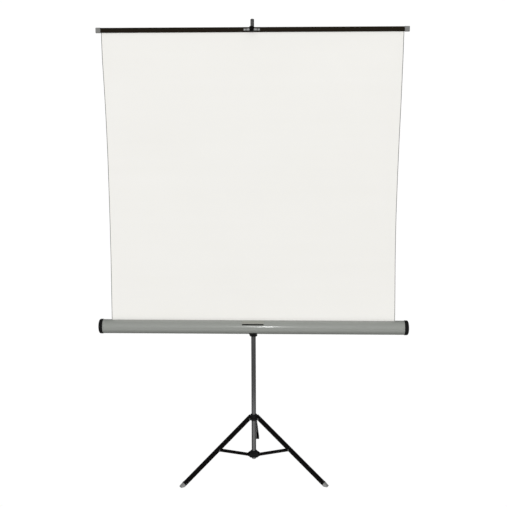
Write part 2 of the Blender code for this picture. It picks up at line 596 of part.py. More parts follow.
# spring roller
ROLL = axes((0, 1, 0), (0, 0, 1), (1, 0, 0), (0, ROLLER_Y, CASE_Z))
ROLL_E = 0.815
roller_tube = ring("roller_tube", ROLLER_R, 12.8 * MM, -ROLL_E, ROLL_E, ROLLER, ROLL, 20)
roller_plug = turned("roller_plug", [(0, -0.796), (12.4 * MM, -0.796), (12.4 * MM, -0.8145), (4.0 * MM, -0.8145),
                                     (4.0 * MM, -CAP_E + 3.6 * MM), (0, -CAP_E + 3.6 * MM)],
                     NYLON, ROLL, steps=20)
roller_bush = ring("roller_bush", 12.4 * MM, 5.4 * MM, 0.798, 0.8145, NYLON, ROLL, 20)
spring_rod = rod("spring_rod", 5.0 * MM, 0.46, CAP_E - 3.6 * MM, STEEL, ROLL, 14)

cu = bpy.data.curves.new("roller_spring_path", "CURVE")
cu.dimensions = "3D"
cu.bevel_depth = 1.0 * MM
cu.bevel_resolution = 2
cu.use_fill_caps = True
sp = cu.splines.new("POLY")
TURNS, PER, S0, S1 = 9, 8, 0.48, 0.79
sp.points.add(TURNS * PER)
for k, p in enumerate(sp.points):
    t = k / (TURNS * PER)
    a = math.tau * TURNS * t
    p.co = (9.0 * MM * math.cos(a), 9.0 * MM * math.sin(a), S0 + (S1 - S0) * t, 1.0)
tmp = bpy.data.objects.new("roller_spring_path", cu)
parts_col.objects.link(tmp)
mesh = bpy.data.meshes.new_from_object(tmp.evaluated_get(bpy.context.evaluated_depsgraph_get()))
bpy.data.objects.remove(tmp, do_unlink=True)
bpy.data.curves.remove(cu)
mesh.materials.clear()
bm = bmesh.new()
bm.from_mesh(mesh)
bmesh.ops.remove_doubles(bm, verts=bm.verts, dist=1e-6)
bmesh.ops.recalc_face_normals(bm, faces=bm.faces)
bm.to_mesh(mesh)
bm.free()
mesh.shade_smooth()
roller_spring = add("roller_spring", mesh, STEEL, ROLL)

carry(mast_b, mast_tube, mast_bush, mast_collar, pivot_block, block_screw, case_cradle, pivot_bolt,
      case_shell, *screws, *caps, case_plate, fabric, spring_rod)
roller_b = body("roller_body", (0, ROLLER_Y, CASE_Z))
carry(roller_b, roller_tube, roller_plug, roller_bush, roller_spring)
knob("rod", ROD_KNOB_Z, 24.3 * MM, ROD_R + 0.5 * MM)

# ---------------------------------------------------------------- extension rod and slat
rod_b = body("rod_body", (0, 0, MC_Z1))
extension_rod = ring("extension_rod", ROD_R, ROD_RI, ROD_Z0, ROD_Z1, TUBE_GREY)
rod_bush = turned("rod_bush", [(8.0 * MM, 1.241), (8.0 * MM, ROD_Z0 - GAP), (9.55 * MM, ROD_Z0 - GAP),
                               (9.55 * MM, 1.213), (4.0 * MM, 1.213), (4.0 * MM, 1.241)],
                  NYLON, closed=True, steps=20)
rod_cap = turned("rod_cap", [(0, ROD_TOP), (5.0 * MM, ROD_TOP - 0.4 * MM), (8.2 * MM, ROD_TOP - 1.8 * MM),
                             (9.7 * MM, ROD_TOP - 4.2 * MM), (9.7 * MM, ROD_Z1 + GAP), (8.0 * MM, ROD_Z1 + GAP),
                             (8.0 * MM, ROD_Z1 - 14 * MM), (0, ROD_Z1 - 14 * MM)],
                 TUBE_GREY, steps=20)

# hook: up the rod's front, over the slat, down in front of the handle and under it
HK_T = 2.6 * MM
HK_X = 11.0 * MM
FRONT = SCREEN_Y - SLAT_D / 2                # front face of the slat
HAN_Z = 2.4085                               # middle of the handle
HAN_H = 5.0 * MM
HAN_OUT = 9.3 * MM                           # finger gap behind the handle
HAN_T = 2.0 * MM
y_tab = -(ROD_R + GAP)
y_in = FRONT - HAN_OUT - HAN_T - 0.5 * MM    # inside of the hook's front
y_out = y_in - HK_T
z_lip = HAN_Z - HAN_H - 0.6 * MM             # top of the hook's lip
arm0, arm1 = SLAT_Z1 + 2.0 * MM, SLAT_Z1 + 2.0 * MM + HK_T
slat_hook = prism("slat_hook",
                  [(y_tab, 2.4000), (y_tab, arm1), (y_out, arm1), (y_out, z_lip - HK_T),
                   (FRONT - 2.2 * MM, z_lip - HK_T), (FRONT - 2.2 * MM, z_lip), (y_in, z_lip),
                   (y_in, arm0), (y_tab - HK_T, arm0), (y_tab - HK_T, 2.4000)],
                  HK_X, BLACK_EN, SIDE)
RV_Z = 2.4115
hk_hole = rod("hook_rivet_hole", 2.3 * MM, -20 * MM, -4 * MM, frame=back_at(0, RV_Z), steps=12, cutter=True)
boolean(slat_hook, hk_hole)
rd_hole = rod("rod_rivet_hole", 2.3 * MM, -20 * MM, -4 * MM, frame=back_at(0, RV_Z), steps=12, cutter=True)
boolean(extension_rod, rd_hole)
yo = y_tab - HK_T - GAP
hook_rivet = turned("hook_rivet", [(0, -6.6 * MM), (2.0 * MM, -6.6 * MM), (2.0 * MM, yo), (4.0 * MM, yo),
                                   (3.2 * MM, yo - 1.4 * MM), (0, yo - 2.0 * MM)],
                    STEEL, back_at(0, RV_Z), steps=10)

# slat with a groove for the sheet, and its caps
y0, y1 = FRONT, SCREEN_Y + SLAT_D / 2
g = 1.2 * MM
rr = 4.0 * MM
loop = (arc(y1 - rr, SLAT_Z1 - rr, rr, 0, 90, 4) + arc(y0 + rr, SLAT_Z1 - rr, rr, 90, 180, 4)
        + arc(y0 + rr, SLAT_Z0 + rr, rr, 180, 270, 4)
        + [(SCREEN_Y - g, SLAT_Z0), (SCREEN_Y - g, SLAT_Z0 + 10 * MM), (SCREEN_Y + g, SLAT_Z0 + 10 * MM),
           (SCREEN_Y + g, SLAT_Z0)]
        + arc(y1 - rr, SLAT_Z0 + rr, rr, 270, 360, 4))
SLAT_HALF = SLAT_LEN / 2 - 4.5 * MM
wall = 1.6 * MM
slat = prism("slat", loop, SLAT_HALF, SLAT_BR, SIDE,
             holes=[round_rect(y0 + wall, SLAT_Z0 + 11.6 * MM, y1 - wall, SLAT_Z1 - wall, 2.4 * MM, 2)])
slat_caps = []
for side, s in (("left", -1), ("right", 1)):
    x_out = SLAT_LEN / 2
    x_in = x_out - SLAT_CAP_L
    f = SIDE.copy()
    f.translation = Vector((s * (x_out + x_in) / 2, 0, 0))
    e = 1.2 * MM
    cap = prism(f"slat_cap_{side}", round_rect(y0 - e, SLAT_Z0 - e, y1 + e, SLAT_Z1 + e, 5.2 * MM, 4),
                SLAT_CAP_L / 2, GREY_PL, f)
    bevel(cap, 1.6 * MM, 2, 50)
    pf = SIDE.copy()
    deep = SLAT_HALF + GAP
    pf.translation = Vector((s * (deep + x_in - 5 * MM) / 2, 0, 0))
    e = GAP
    pocket = prism(f"slat_cap_pocket_{side}", round_rect(y0 - e, SLAT_Z0 - e, y1 + e, SLAT_Z1 + e, 4.2 * MM, 4),
                   (deep - x_in + 5 * MM) / 2, frame=pf, cutter=True)
    boolean(cap, pocket)
    slat_caps.append(cap)

# strap handle on the slat's front
HAN_X = 41.0 * MM
a, b = GAP, GAP + HAN_T
path_in = [(-HAN_X, a), (-30.5 * MM, a), (-24.0 * MM, HAN_OUT), (24.0 * MM, HAN_OUT), (30.5 * MM, a), (HAN_X, a)]
path_out = [(HAN_X, b), (31.6 * MM, b), (25.1 * MM, HAN_OUT + HAN_T), (-25.1 * MM, HAN_OUT + HAN_T),
            (-31.6 * MM, b), (-HAN_X, b)]
TOP = Matrix.Translation((0, FRONT, HAN_Z))
slat_handle = prism("slat_handle", [(x, -d) for x, d in path_in + path_out], HAN_H, CHROME, TOP)
rivets = []
for i, x in ((1, -36.2 * MM), (2, 36.2 * MM)):
    f = back_at(x, HAN_Z)
    h1 = rod(f"handle_rivet_hole_{i}", 2.3 * MM, FRONT - 6 * MM, FRONT + 4.0 * MM, frame=f, steps=10, cutter=True)
    boolean(slat_handle, h1)
    h2 = rod(f"slat_rivet_hole_{i}", 2.3 * MM, FRONT - 6 * MM, FRONT + 4.0 * MM, frame=f, steps=10, cutter=True)
    boolean(slat, h2)
    yh = FRONT - b - GAP
    rivets.append(turned(f"handle_rivet_{i}",
                         [(0, FRONT + 3.6 * MM), (2.0 * MM, FRONT + 3.6 * MM), (2.0 * MM, yh), (3.6 * MM, yh),
                          (2.9 * MM, yh - 1.2 * MM), (0, yh - 1.7 * MM)], CHROME, f, steps=10))

carry(rod_b, extension_rod, rod_bush, rod_cap, slat_hook, hook_rivet, slat, *slat_caps, slat_handle, *rivets)
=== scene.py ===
"""Looks of the tripod projection screen: fine pieces and finishes on its fixed frame.

Row frame, metres, +Z up, the screen faces -Y. Shapes are drawn about the pole's
axis and moved into the row frame when they are done.
"""
import json
import math

import bmesh
import bpy
import numpy as np
from mathutils import Matrix, Vector


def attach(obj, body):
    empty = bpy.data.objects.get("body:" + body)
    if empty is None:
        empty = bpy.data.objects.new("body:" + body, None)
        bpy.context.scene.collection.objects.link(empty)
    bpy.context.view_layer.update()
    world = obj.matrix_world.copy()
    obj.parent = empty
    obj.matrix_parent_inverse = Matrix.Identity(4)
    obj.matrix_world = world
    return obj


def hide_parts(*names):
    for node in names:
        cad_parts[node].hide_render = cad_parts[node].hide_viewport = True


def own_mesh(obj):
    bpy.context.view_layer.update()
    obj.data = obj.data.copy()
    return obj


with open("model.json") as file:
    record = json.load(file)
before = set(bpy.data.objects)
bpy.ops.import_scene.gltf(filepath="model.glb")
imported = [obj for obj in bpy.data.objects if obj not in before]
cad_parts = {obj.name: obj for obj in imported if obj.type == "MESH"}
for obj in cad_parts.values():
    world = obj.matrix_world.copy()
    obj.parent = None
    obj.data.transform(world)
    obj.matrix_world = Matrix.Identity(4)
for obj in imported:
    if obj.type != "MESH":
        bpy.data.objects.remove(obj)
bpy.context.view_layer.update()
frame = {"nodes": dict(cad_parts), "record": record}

MM = 0.001
GAP = 0.3 * MM
Y_POLE = -0.1086            # the pole's axis in the row frame

# sizes of the frame, about the pole's axis
FABRIC_W, FABRIC_T = 1.524, 0.6 * MM
SCREEN_Y = -68.0 * MM
SHEET_Z0, SHEET_Z1 = 0.852, 2.404
SLAT_Z0, SLAT_Z1, SLAT_D, SLAT_LEN, SLAT_CAP_L = 2.396, 2.421, 13.0 * MM, 1.585, 25.0 * MM
CASE_R, CASE_WALL, CASE_LEN, CASE_Z = 38.1 * MM, 1.2 * MM, 1.668, 0.854
SLOT_HALF = 4.0 * MM
POLE_R, POLE_RI, POLE_Z0, POLE_Z1 = 12.7 * MM, 11.5 * MM, 0.074, 0.800
MAST_R, MAST_RI, MAST_Z0, MAST_Z1 = 11.1 * MM, 9.9 * MM, 0.130, 1.340
ROD_R, ROD_RI, ROD_Z0, ROD_Z1, ROD_TOP = 9.525 * MM, 8.3 * MM, 1.225, 2.4584, 2.4657
HUB_R, HUB_Z, FOOT_R = 32.0 * MM, 0.312, 0.447
LEG_ANGLE = math.atan2(FOOT_R - HUB_R, HUB_Z)
LEG_W, LEG_T, LEG_END = 25.0 * MM, 1.4 * MM, 0.490
LEG_IN, LEG_OUT, LEG_TOP = 8.0 * MM, 10.0 * MM, 20.0 * MM
STRUT_AT, STRUT_IN = 0.237, 2.0 * MM
COLLAR_R, COLLAR_Z = 30.0 * MM, 0.100
STRUT_W, STRUT_T, STRUT_OPEN, STRUT_BACK = 13.0 * MM, 1.2 * MM, 5.5 * MM, 10.0 * MM
AZIMUTHS = (-59.4, 63.3, 179.3)

scene = bpy.context.scene


# ---------------------------------------------------------------- outlines
def arc(cx, cy, r, a0, a1, n):
    out = []
    for i in range(n + 1):
        a = math.radians(a0 + (a1 - a0) * i / n)
        out.append((cx + r * math.cos(a), cy + r * math.sin(a)))
    return out


def round_rect(x0, y0, x1, y1, r, n=8):
    return (arc(x1 - r, y1 - r, r, 0, 90, n) + arc(x0 + r, y1 - r, r, 90, 180, n)
            + arc(x0 + r, y0 + r, r, 180, 270, n) + arc(x1 - r, y0 + r, r, 270, 360, n))


def soften(points, radius, n=5, closed=True):
    """Rounds an outline's corners; radius is one number, or one for each corner."""
    pts = [Vector((p[0], p[1])) for p in points]
    count, out = len(pts), []
    for i, p in enumerate(pts):
        r = radius[i] if hasattr(radius, "__len__") else radius
        if r <= 0 or (not closed and i in (0, count - 1)):
            out.append(p)
            continue
        a, b = pts[i - 1] - p, pts[(i + 1) % count] - p
        la, lb = a.length, b.length
        a, b = a / la, b / lb
        half = a.angle(b) / 2
        if half > math.radians(87.5):
            out.append(p)
            continue
        cut = min(r / math.tan(half), 0.48 * la, 0.48 * lb)
        rr = cut * math.tan(half)
        c = p + (a + b).normalized() * (rr / math.sin(half))
        s, e = p + a * cut - c, p + b * cut - c
        a0, a1 = math.atan2(s.y, s.x), math.atan2(e.y, e.x)
        d = (a1 - a0 + math.pi) % math.tau - math.pi
        for k in range(n + 1):
            t = a0 + d * k / n
            out.append(c + Vector((math.cos(t), math.sin(t))) * rr)
    return [(v.x, v.y) for v in out]


def axes(x, y, z, at=(0.0, 0.0, 0.0)):
    m = Matrix.Identity(4)
    for i, v in enumerate((x, y, z)):
        v = Vector(v).normalized()
        m[0][i], m[1][i], m[2][i] = v
    m.translation = Vector(at)
    return m


SIDE = axes((0, 1, 0), (0, 0, 1), (1, 0, 0))       # local XY is (y, z), local Z runs along +X


def back_at(x, z):
    """Local Z runs along +Y."""
    return axes((1, 0, 0), (0, 0, -1), (0, 1, 0), (x, 0.0, z))


def radial(az):
    """Radial plane of a leg: local X outwards, local Y up, local Z across."""
    a = math.radians(az)
    er = Vector((math.sin(a), -math.cos(a), 0.0))
    return axes(er, (0, 0, 1), er.cross(Vector((0, 0, 1))))


def plane_frame(rad, origin, u, v):
    e_r, e_z = Vector(rad.col[0][:3]), Vector(rad.col[1][:3])
    x, y = e_r * u.x + e_z * u.y, e_r * v.x + e_z * v.y
    return axes(x, y, x.cross(y), e_r * origin.x + e_z * origin.y)


# ---------------------------------------------------------------- solids
def made(name, mesh, at=None):
    ob = bpy.data.objects.new(name, mesh)
    scene.collection.objects.link(ob)
    if at is not None:
        ob.matrix_world = at
    return ob


def from_bm(name, bm, at=None):
    mesh = bpy.data.meshes.new(name)
    bm.to_mesh(mesh)
    bm.free()
    return made(name, mesh, at)


def lathe(name, profile, at=None, steps=64, closed=False, shape=None):
    """A profile of (radius, height) turned about local Z. shape(a, r, z) may change a point's radius."""
    bm = bmesh.new()
    rings = []
    for r, z in profile:
        if r < 1e-7:
            rings.append([bm.verts.new((0, 0, z))])
            continue
        ring = []
        for k in range(steps):
            a = math.tau * k / steps
            q = shape(a, r, z) if shape else r
            ring.append(bm.verts.new((q * math.cos(a), q * math.sin(a), z)))
        rings.append(ring)
    pairs = list(zip(rings, rings[1:]))
    if closed:
        pairs.append((rings[-1], rings[0]))
    for p, q in pairs:
        for k in range(steps):
            j = (k + 1) % steps
            if len(p) == 1 and len(q) == 1:
                break
            if len(p) == 1:
                bm.faces.new((p[0], q[k], q[j]))
            elif len(q) == 1:
                bm.faces.new((p[j], p[k], q[0]))
            else:
                bm.faces.new((p[k], q[k], q[j], p[j]))
    bmesh.ops.recalc_face_normals(bm, faces=bm.faces)
    return from_bm(name, bm, at)


def tube(name, r_out, r_in, z0, z1, at=None, steps=72, edge=0.4 * MM):
    prof = soften([(r_out, z1), (r_out, z0), (r_in, z0), (r_in, z1)], edge, 3)
    return lathe(name, prof, at, steps, True)


def prism(name, loop, half, at=None, edge=0.0, holes=()):
    """A closed outline in local XY, thick by half to both sides, with rounded edges."""
    cu = bpy.data.curves.new(name + "_outline", "CURVE")
    cu.dimensions = "2D"
    cu.fill_mode = "BOTH"
    cu.extrude = half - edge
    if edge:
        cu.bevel_depth = edge
        cu.bevel_resolution = 2
        cu.offset = -edge
    for pts in (loop, *holes):
        sp = cu.splines.new("POLY")
        sp.points.add(len(pts) - 1)
        for p, (x, y) in zip(sp.points, pts):
            p.co = (x, y, 0.0, 1.0)
        sp.use_cyclic_u = True
    tmp = made(name + "_outline", cu)
    mesh = bpy.data.meshes.new_from_object(tmp.evaluated_get(bpy.context.evaluated_depsgraph_get()))
    bpy.data.objects.remove(tmp, do_unlink=True)
    bpy.data.curves.remove(cu)
    mesh.materials.clear()
    bm = bmesh.new()
    bm.from_mesh(mesh)
    bpy.data.meshes.remove(mesh)
    bmesh.ops.remove_doubles(bm, verts=bm.verts, dist=2e-6)
    bmesh.ops.dissolve_limit(bm, angle_limit=math.radians(0.2), verts=bm.verts, edges=bm.edges)
    bmesh.ops.recalc_face_normals(bm, faces=bm.faces)
    return from_bm(name, bm, at)


def apply(ob):
    bpy.context.view_layer.update()
    mesh = bpy.data.meshes.new_from_object(ob.evaluated_get(bpy.context.evaluated_depsgraph_get()))
    old = ob.data
    ob.modifiers.clear()
    ob.data = mesh
    bpy.data.meshes.remove(old)
    return ob


def combine(ob, operation, *tools):
    for t in tools:
        m = ob.modifiers.new(operation.lower(), "BOOLEAN")
        m.operation = operation
        m.solver = "EXACT"
        m.object = t
    apply(ob)
    for t in tools:
        mesh = t.data
        bpy.data.objects.remove(t, do_unlink=True)
        bpy.data.meshes.remove(mesh)
    return ob


def rod(r, z0, z1, at=None, steps=32):
    return lathe("tool", [(0, z1), (r, z1), (r, z0), (0, z0)], at, steps)


def cross_recess(at, face, depth, size):
    """Cross-shaped recess for a screw head whose face lies at local z = face."""
    w, c = size * 0.18, size * 0.23
    loop = [(c, c), (w, size), (-w, size), (-c, c), (-size, w), (-size, -w),
            (-c, -c), (-w, -size), (w, -size), (c, -c), (size, -w), (size, w)]
    return prism("tool", loop, depth, at @ Matrix.Translation((0, 0, face)))


# ---------------------------------------------------------------- finishes
def put(t, kind, ins=None, **props):
    n = t.nodes.new("ShaderNode" + kind)
    for k, v in props.items():
        setattr(n, k, v)
    for k, v in (ins or {}).items():
        if isinstance(v, bpy.types.NodeSocket):
            t.links.new(v, n.inputs[k])
        else:
            n.inputs[k].default_value = v
    return n


def ranged(t, value, a, b, c, d):
    return put(t, "MapRange", {"Value": value, "From Min": a, "From Max": b, "To Min": c, "To Max": d}).outputs[0]


def tint(colour, k):
    return (*(min(1.0, c * k) for c in colour), 1.0)


def finish(name, colour, rough, metallic=0.0, specular=0.5, vary=0.06, vary_scale=8.0, rough_vary=0.06,
           rough_scale=30.0, grain=(900.0, 0.10, 0.15 * MM), stretch=(1.0, 1.0, 1.0), wear=None, dust=None,
           coat=None, sheen=None, aniso=0.0):
    """A procedural finish in the row frame's metres.

    grain is (scale, strength, depth) of the surface's relief; stretch draws the patterns out along an
    axis; wear is (colour, radius, amount, metallic) along edges; dust is (colour, amount).
    """
    m = bpy.data.materials.new(name)
    m.use_nodes = True
    t = m.node_tree
    b = t.nodes["Principled BSDF"]
    b.inputs["Metallic"].default_value = metallic
    b.inputs["Specular IOR Level"].default_value = specular
    if coat:
        b.inputs["Coat Weight"].default_value, b.inputs["Coat Roughness"].default_value = coat
    if sheen:
        b.inputs["Sheen Weight"].default_value, b.inputs["Sheen Roughness"].default_value = sheen
    if aniso:
        b.inputs["Anisotropic"].default_value = aniso
    place = put(t, "TexCoord").outputs["Object"]
    drawn = put(t, "Mapping", {"Vector": place, "Scale": stretch}).outputs[0]
    broad = put(t, "TexNoise", {"Vector": drawn, "Scale": vary_scale, "Detail": 5.0, "Roughness": 0.6}).outputs[0]
    fine = put(t, "TexNoise", {"Vector": drawn, "Scale": vary_scale * 23, "Detail": 3.0, "Roughness": 0.6}).outputs[0]
    both = put(t, "Math", {0: ranged(t, broad, 0.3, 0.7, 0.0, 0.65), 1: ranged(t, fine, 0.3, 0.7, 0.0, 0.35)},
               operation="ADD").outputs[0]
    base = put(t, "MixRGB", {"Fac": both, "Color1": tint(colour, 1 - vary), "Color2": tint(colour, 1 + vary)}).outputs[0]
    mott = put(t, "TexNoise", {"Vector": drawn, "Scale": rough_scale, "Detail": 4.0, "Roughness": 0.65}).outputs[0]
    rgh = ranged(t, mott, 0.25, 0.75, max(0.03, rough - rough_vary), min(1.0, rough + rough_vary))
    if dust:
        cloud = put(t, "TexNoise", {"Vector": place, "Scale": 55.0, "Detail": 6.0, "Roughness": 0.7}).outputs[0]
        base = put(t, "MixRGB", {"Fac": ranged(t, cloud, 0.5, 0.82, 0.0, dust[1]), "Color1": base,
                                 "Color2": (*dust[0], 1.0)}).outputs[0]
    if wear:
        soft = put(t, "Bevel", {"Radius": wear[1]}, samples=6).outputs[0]
        true = put(t, "NewGeometry").outputs["Normal"]
        dot = put(t, "VectorMath", {0: soft, 1: true}, operation="DOT_PRODUCT").outputs["Value"]
        edge = ranged(t, dot, 0.985, 0.80, 0.0, 1.0)
        chips = put(t, "TexNoise", {"Vector": place, "Scale": 160.0, "Detail": 5.0, "Roughness": 0.7}).outputs[0]
        mask = put(t, "Math", {0: edge, 1: ranged(t, chips, 0.47, 0.62, 0.0, wear[2])}, operation="MULTIPLY",
                   use_clamp=True).outputs[0]
        base = put(t, "MixRGB", {"Fac": mask, "Color1": base, "Color2": (*wear[0], 1.0)}).outputs[0]
        if wear[3] != metallic:
            t.links.new(ranged(t, mask, 0.0, 1.0, metallic, wear[3]), b.inputs["Metallic"])
    t.links.new(base, b.inputs["Base Color"])
    t.links.new(rgh, b.inputs["Roughness"])
    relief = put(t, "TexNoise", {"Vector": drawn, "Scale": grain[0], "Detail": 3.0, "Roughness": 0.55}).outputs[0]
    bump = put(t, "Bump", {"Strength": grain[1], "Distance": grain[2], "Height": relief}).outputs[0]
    t.links.new(bump, b.inputs["Normal"])
    return m


def cloth(name, colour, threads, depth, vary, rough, sheen):
    """Coated cloth: threads both ways, faint bands left by the roller, slow changes of tone."""
    m = bpy.data.materials.new(name)
    m.use_nodes = True
    t = m.node_tree
    b = t.nodes["Principled BSDF"]
    b.inputs["Specular IOR Level"].default_value = 0.18
    b.inputs["Sheen Weight"].default_value, b.inputs["Sheen Roughness"].default_value = sheen, 0.5
    place = put(t, "TexCoord").outputs["Object"]
    warp = put(t, "Mapping", {"Vector": place, "Scale": (1.0, 1.0, 0.045)}).outputs[0]
    weft = put(t, "Mapping", {"Vector": place, "Scale": (0.045, 1.0, 1.0)}).outputs[0]
    up = put(t, "TexNoise", {"Vector": warp, "Scale": threads, "Detail": 2.0, "Roughness": 0.5}).outputs[0]
    over = put(t, "TexNoise", {"Vector": weft, "Scale": threads, "Detail": 2.0, "Roughness": 0.5}).outputs[0]
    weave = put(t, "Math", {0: up, 1: over}, operation="ADD").outputs[0]
    slow = put(t, "TexNoise", {"Vector": place, "Scale": 2.6, "Detail": 4.0, "Roughness": 0.55}).outputs[0]
    rolled = put(t, "Mapping", {"Vector": place, "Scale": (0.05, 0.05, 1.0)}).outputs[0]
    bands = put(t, "TexNoise", {"Vector": rolled, "Scale": 11.0, "Detail": 3.0, "Roughness": 0.6}).outputs[0]
    tone = put(t, "Math", {0: ranged(t, slow, 0.3, 0.7, 0.0, 0.45), 1: ranged(t, bands, 0.3, 0.7, 0.0, 0.35)},
               operation="ADD").outputs[0]
    tone = put(t, "Math", {0: tone, 1: ranged(t, weave, 0.7, 1.3, 0.0, 0.2)}, operation="ADD").outputs[0]
    low, high = tint(colour, 1 - vary), tint(colour, 1 + vary)
    low = (low[0], low[1] * 0.999, low[2] * 0.992, 1.0)
    t.links.new(put(t, "MixRGB", {"Fac": tone, "Color1": low, "Color2": high}).outputs[0], b.inputs["Base Color"])
    t.links.new(ranged(t, weave, 0.7, 1.3, rough - 0.05, rough + 0.05), b.inputs["Roughness"])
    bump = put(t, "Bump", {"Strength": 0.35, "Distance": depth, "Height": weave}).outputs[0]
    t.links.new(bump, b.inputs["Normal"])
    return m


SHEET_FRONT = cloth("sheet_front", (0.846, 0.837, 0.806), 1500.0, 0.06 * MM, 0.012, 0.90, 0.04)
SHEET_BACK = cloth("sheet_back", (0.640, 0.632, 0.610), 1100.0, 0.10 * MM, 0.020, 0.88, 0.06)
SHEET_EDGE = cloth("sheet_selvedge", (0.125, 0.125, 0.122), 1500.0, 0.06 * MM, 0.10, 0.85, 0.05)

CASE_PAINT = finish("case_paint_fine", (0.245, 0.254, 0.236), 0.42, specular=0.24, vary=0.018, vary_scale=5.0,
                    rough_vary=0.05, rough_scale=60.0, grain=(1400.0, 0.05, 0.05 * MM), stretch=(0.25, 1.0, 1.0),
                    wear=((0.36, 0.36, 0.35), 0.8 * MM, 0.8, 0.6), coat=(0.72, 0.12))
TUBE = finish("tube_metal_fine", (0.178, 0.178, 0.178), 0.24, metallic=0.85, vary=0.05, vary_scale=40.0,
              rough_vary=0.06, rough_scale=300.0, grain=(1300.0, 0.04, 0.03 * MM), stretch=(1.0, 1.0, 0.03), aniso=0.3)
BLACK = finish("black_plastic_fine", (0.0060, 0.0060, 0.0062), 0.46, specular=0.16, vary=0.18, vary_scale=20.0,
               rough_vary=0.06, rough_scale=80.0, grain=(1500.0, 0.14, 0.05 * MM),
               wear=((0.035, 0.035, 0.034), 0.7 * MM, 0.5, 0.0), dust=((0.05, 0.048, 0.045), 0.10))
ENAMEL = finish("black_enamel_fine", (0.0022, 0.0016, 0.0014), 0.34, specular=0.11, vary=0.16, vary_scale=16.0,
                rough_vary=0.06, rough_scale=120.0, grain=(420.0, 0.06, 0.06 * MM),
                wear=((0.16, 0.15, 0.14), 0.6 * MM, 0.7, 0.9), dust=((0.04, 0.037, 0.034), 0.03))
SLAT_PAINT = finish("slat_enamel_fine", (0.0098, 0.0066, 0.0028), 0.32, specular=0.20, vary=0.20, vary_scale=6.0,
                    rough_vary=0.05, rough_scale=90.0, grain=(420.0, 0.05, 0.05 * MM), stretch=(0.15, 1.0, 1.0),
                    wear=((0.20, 0.19, 0.18), 0.5 * MM, 0.5, 0.9))
GREY = finish("grey_plastic_fine", (0.280, 0.280, 0.274), 0.55, specular=0.35, vary=0.06, vary_scale=30.0,
              rough_vary=0.06, rough_scale=90.0, grain=(1300.0, 0.15, 0.06 * MM),
              wear=((0.34, 0.34, 0.33), 0.8 * MM, 0.6, 0.0), dust=((0.12, 0.115, 0.11), 0.25))
CAP_GREY = finish("slat_cap_plastic_fine", (0.212, 0.212, 0.204), 0.50, specular=0.35, vary=0.06, vary_scale=30.0,
                  rough_vary=0.06, rough_scale=90.0, grain=(1300.0, 0.15, 0.06 * MM),
                  wear=((0.30, 0.30, 0.29), 0.8 * MM, 0.6, 0.0), dust=((0.12, 0.115, 0.11), 0.15))
CHROME = finish("chrome_fine", (0.56, 0.56, 0.55), 0.20, metallic=0.75, vary=0.03, vary_scale=40.0, rough_vary=0.05,
                rough_scale=200.0, grain=(700.0, 0.02, 0.02 * MM))
ZINC = finish("zinc_steel_fine", (0.34, 0.34, 0.335), 0.36, metallic=1.0, vary=0.08, vary_scale=60.0, rough_vary=0.08,
              rough_scale=250.0, grain=(1200.0, 0.08, 0.03 * MM))
ROLLER = finish("roller_steel_fine", (0.36, 0.36, 0.35), 0.42, metallic=0.9, vary=0.06, vary_scale=30.0,
                rough_vary=0.06, grain=(900.0, 0.05, 0.03 * MM), stretch=(0.05, 1.0, 1.0))
NYLON = finish("nylon_fine", (0.52, 0.51, 0.47), 0.50, vary=0.04, vary_scale=40.0)
PLATE = finish("plate_metal_fine", (0.275, 0.278, 0.248), 0.40, metallic=0.12, specular=0.4, vary=0.05, vary_scale=12.0,
               rough_vary=0.06, rough_scale=220.0, grain=(1300.0, 0.05, 0.03 * MM), stretch=(0.04, 1.0, 1.0),
               wear=((0.40, 0.40, 0.38), 0.6 * MM, 0.6, 0.35))

FINISH_OF_SLOT = {"tube_metal": TUBE, "black_plastic": BLACK, "black_enamel": ENAMEL, "grey_plastic": GREY,
                  "case_paint": CASE_PAINT, "plate_metal": PLATE, "slat_finish": SLAT_PAINT, "chrome": CHROME,
                  "zinc_steel": ZINC, "roller_steel": ROLLER, "nylon": NYLON, "screen_cloth": SHEET_FRONT}


def done(ob, body, slot, *nodes, angle=32.0, mats=None):
    """Moves a piece into the row frame, gives it its finish and puts it on its body."""
    me = ob.data
    bpy.context.view_layer.update()
    me.transform(Matrix.Translation((0, Y_POLE, 0)) @ ob.matrix_world)
    ob.matrix_world = Matrix.Identity(4)
    me.materials.clear()
    for m in mats or [FINISH_OF_SLOT[slot]]:
        me.materials.append(m)
    me.shade_smooth()
    me.set_sharp_from_angle(angle=math.radians(angle))
    ob.name = me.name = nodes[0] + "_fine" if nodes else ob.name
    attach(ob, body)
    if nodes:
        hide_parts(*nodes)
    return ob


# ---------------------------------------------------------------- camera, light, floor
def photo_camera():
    f, side = 900.0, 507.0
    pitch, yaw, roll = 0.1975504, 0.0343390, -0.0038744
    right = Vector((math.cos(yaw), math.sin(yaw), 0))
    up = Vector((-math.sin(yaw) * math.sin(pitch), math.cos(yaw) * math.sin(pitch), math.cos(pitch)))
    ahead = Vector((-math.sin(yaw) * math.cos(pitch), math.cos(yaw) * math.cos(pitch), -math.sin(pitch)))
    x = right * math.cos(roll) + up * math.sin(roll)
    y = up * math.cos(roll) - right * math.sin(roll)
    data = bpy.data.cameras.new("camera")
    data.sensor_width = 36.0
    data.lens = 36.0 * f / side
    data.clip_start, data.clip_end = 0.05, 200.0
    cam = bpy.data.objects.new("camera", data)
    scene.collection.objects.link(cam)
    cam.matrix_world = axes(x, y, -ahead, (0.16466, -4.73735 + Y_POLE, 2.19212))
    scene.camera = cam
    return cam


camera = photo_camera()

world = bpy.data.worlds.new("studio")
scene.world = world
world.use_nodes = True
wt = world.node_tree
back = wt.nodes["Background"]
aim = put(wt, "SeparateXYZ", {"Vector": put(wt, "TexCoord").outputs["Generated"]}).outputs


def fade(value, start, end):
    """0 at start, 1 at end."""
    return put(wt, "MapRange", {"Value": value, "From Min": start, "From Max": end}, interpolation_type="SMOOTHSTEP").outputs[0]


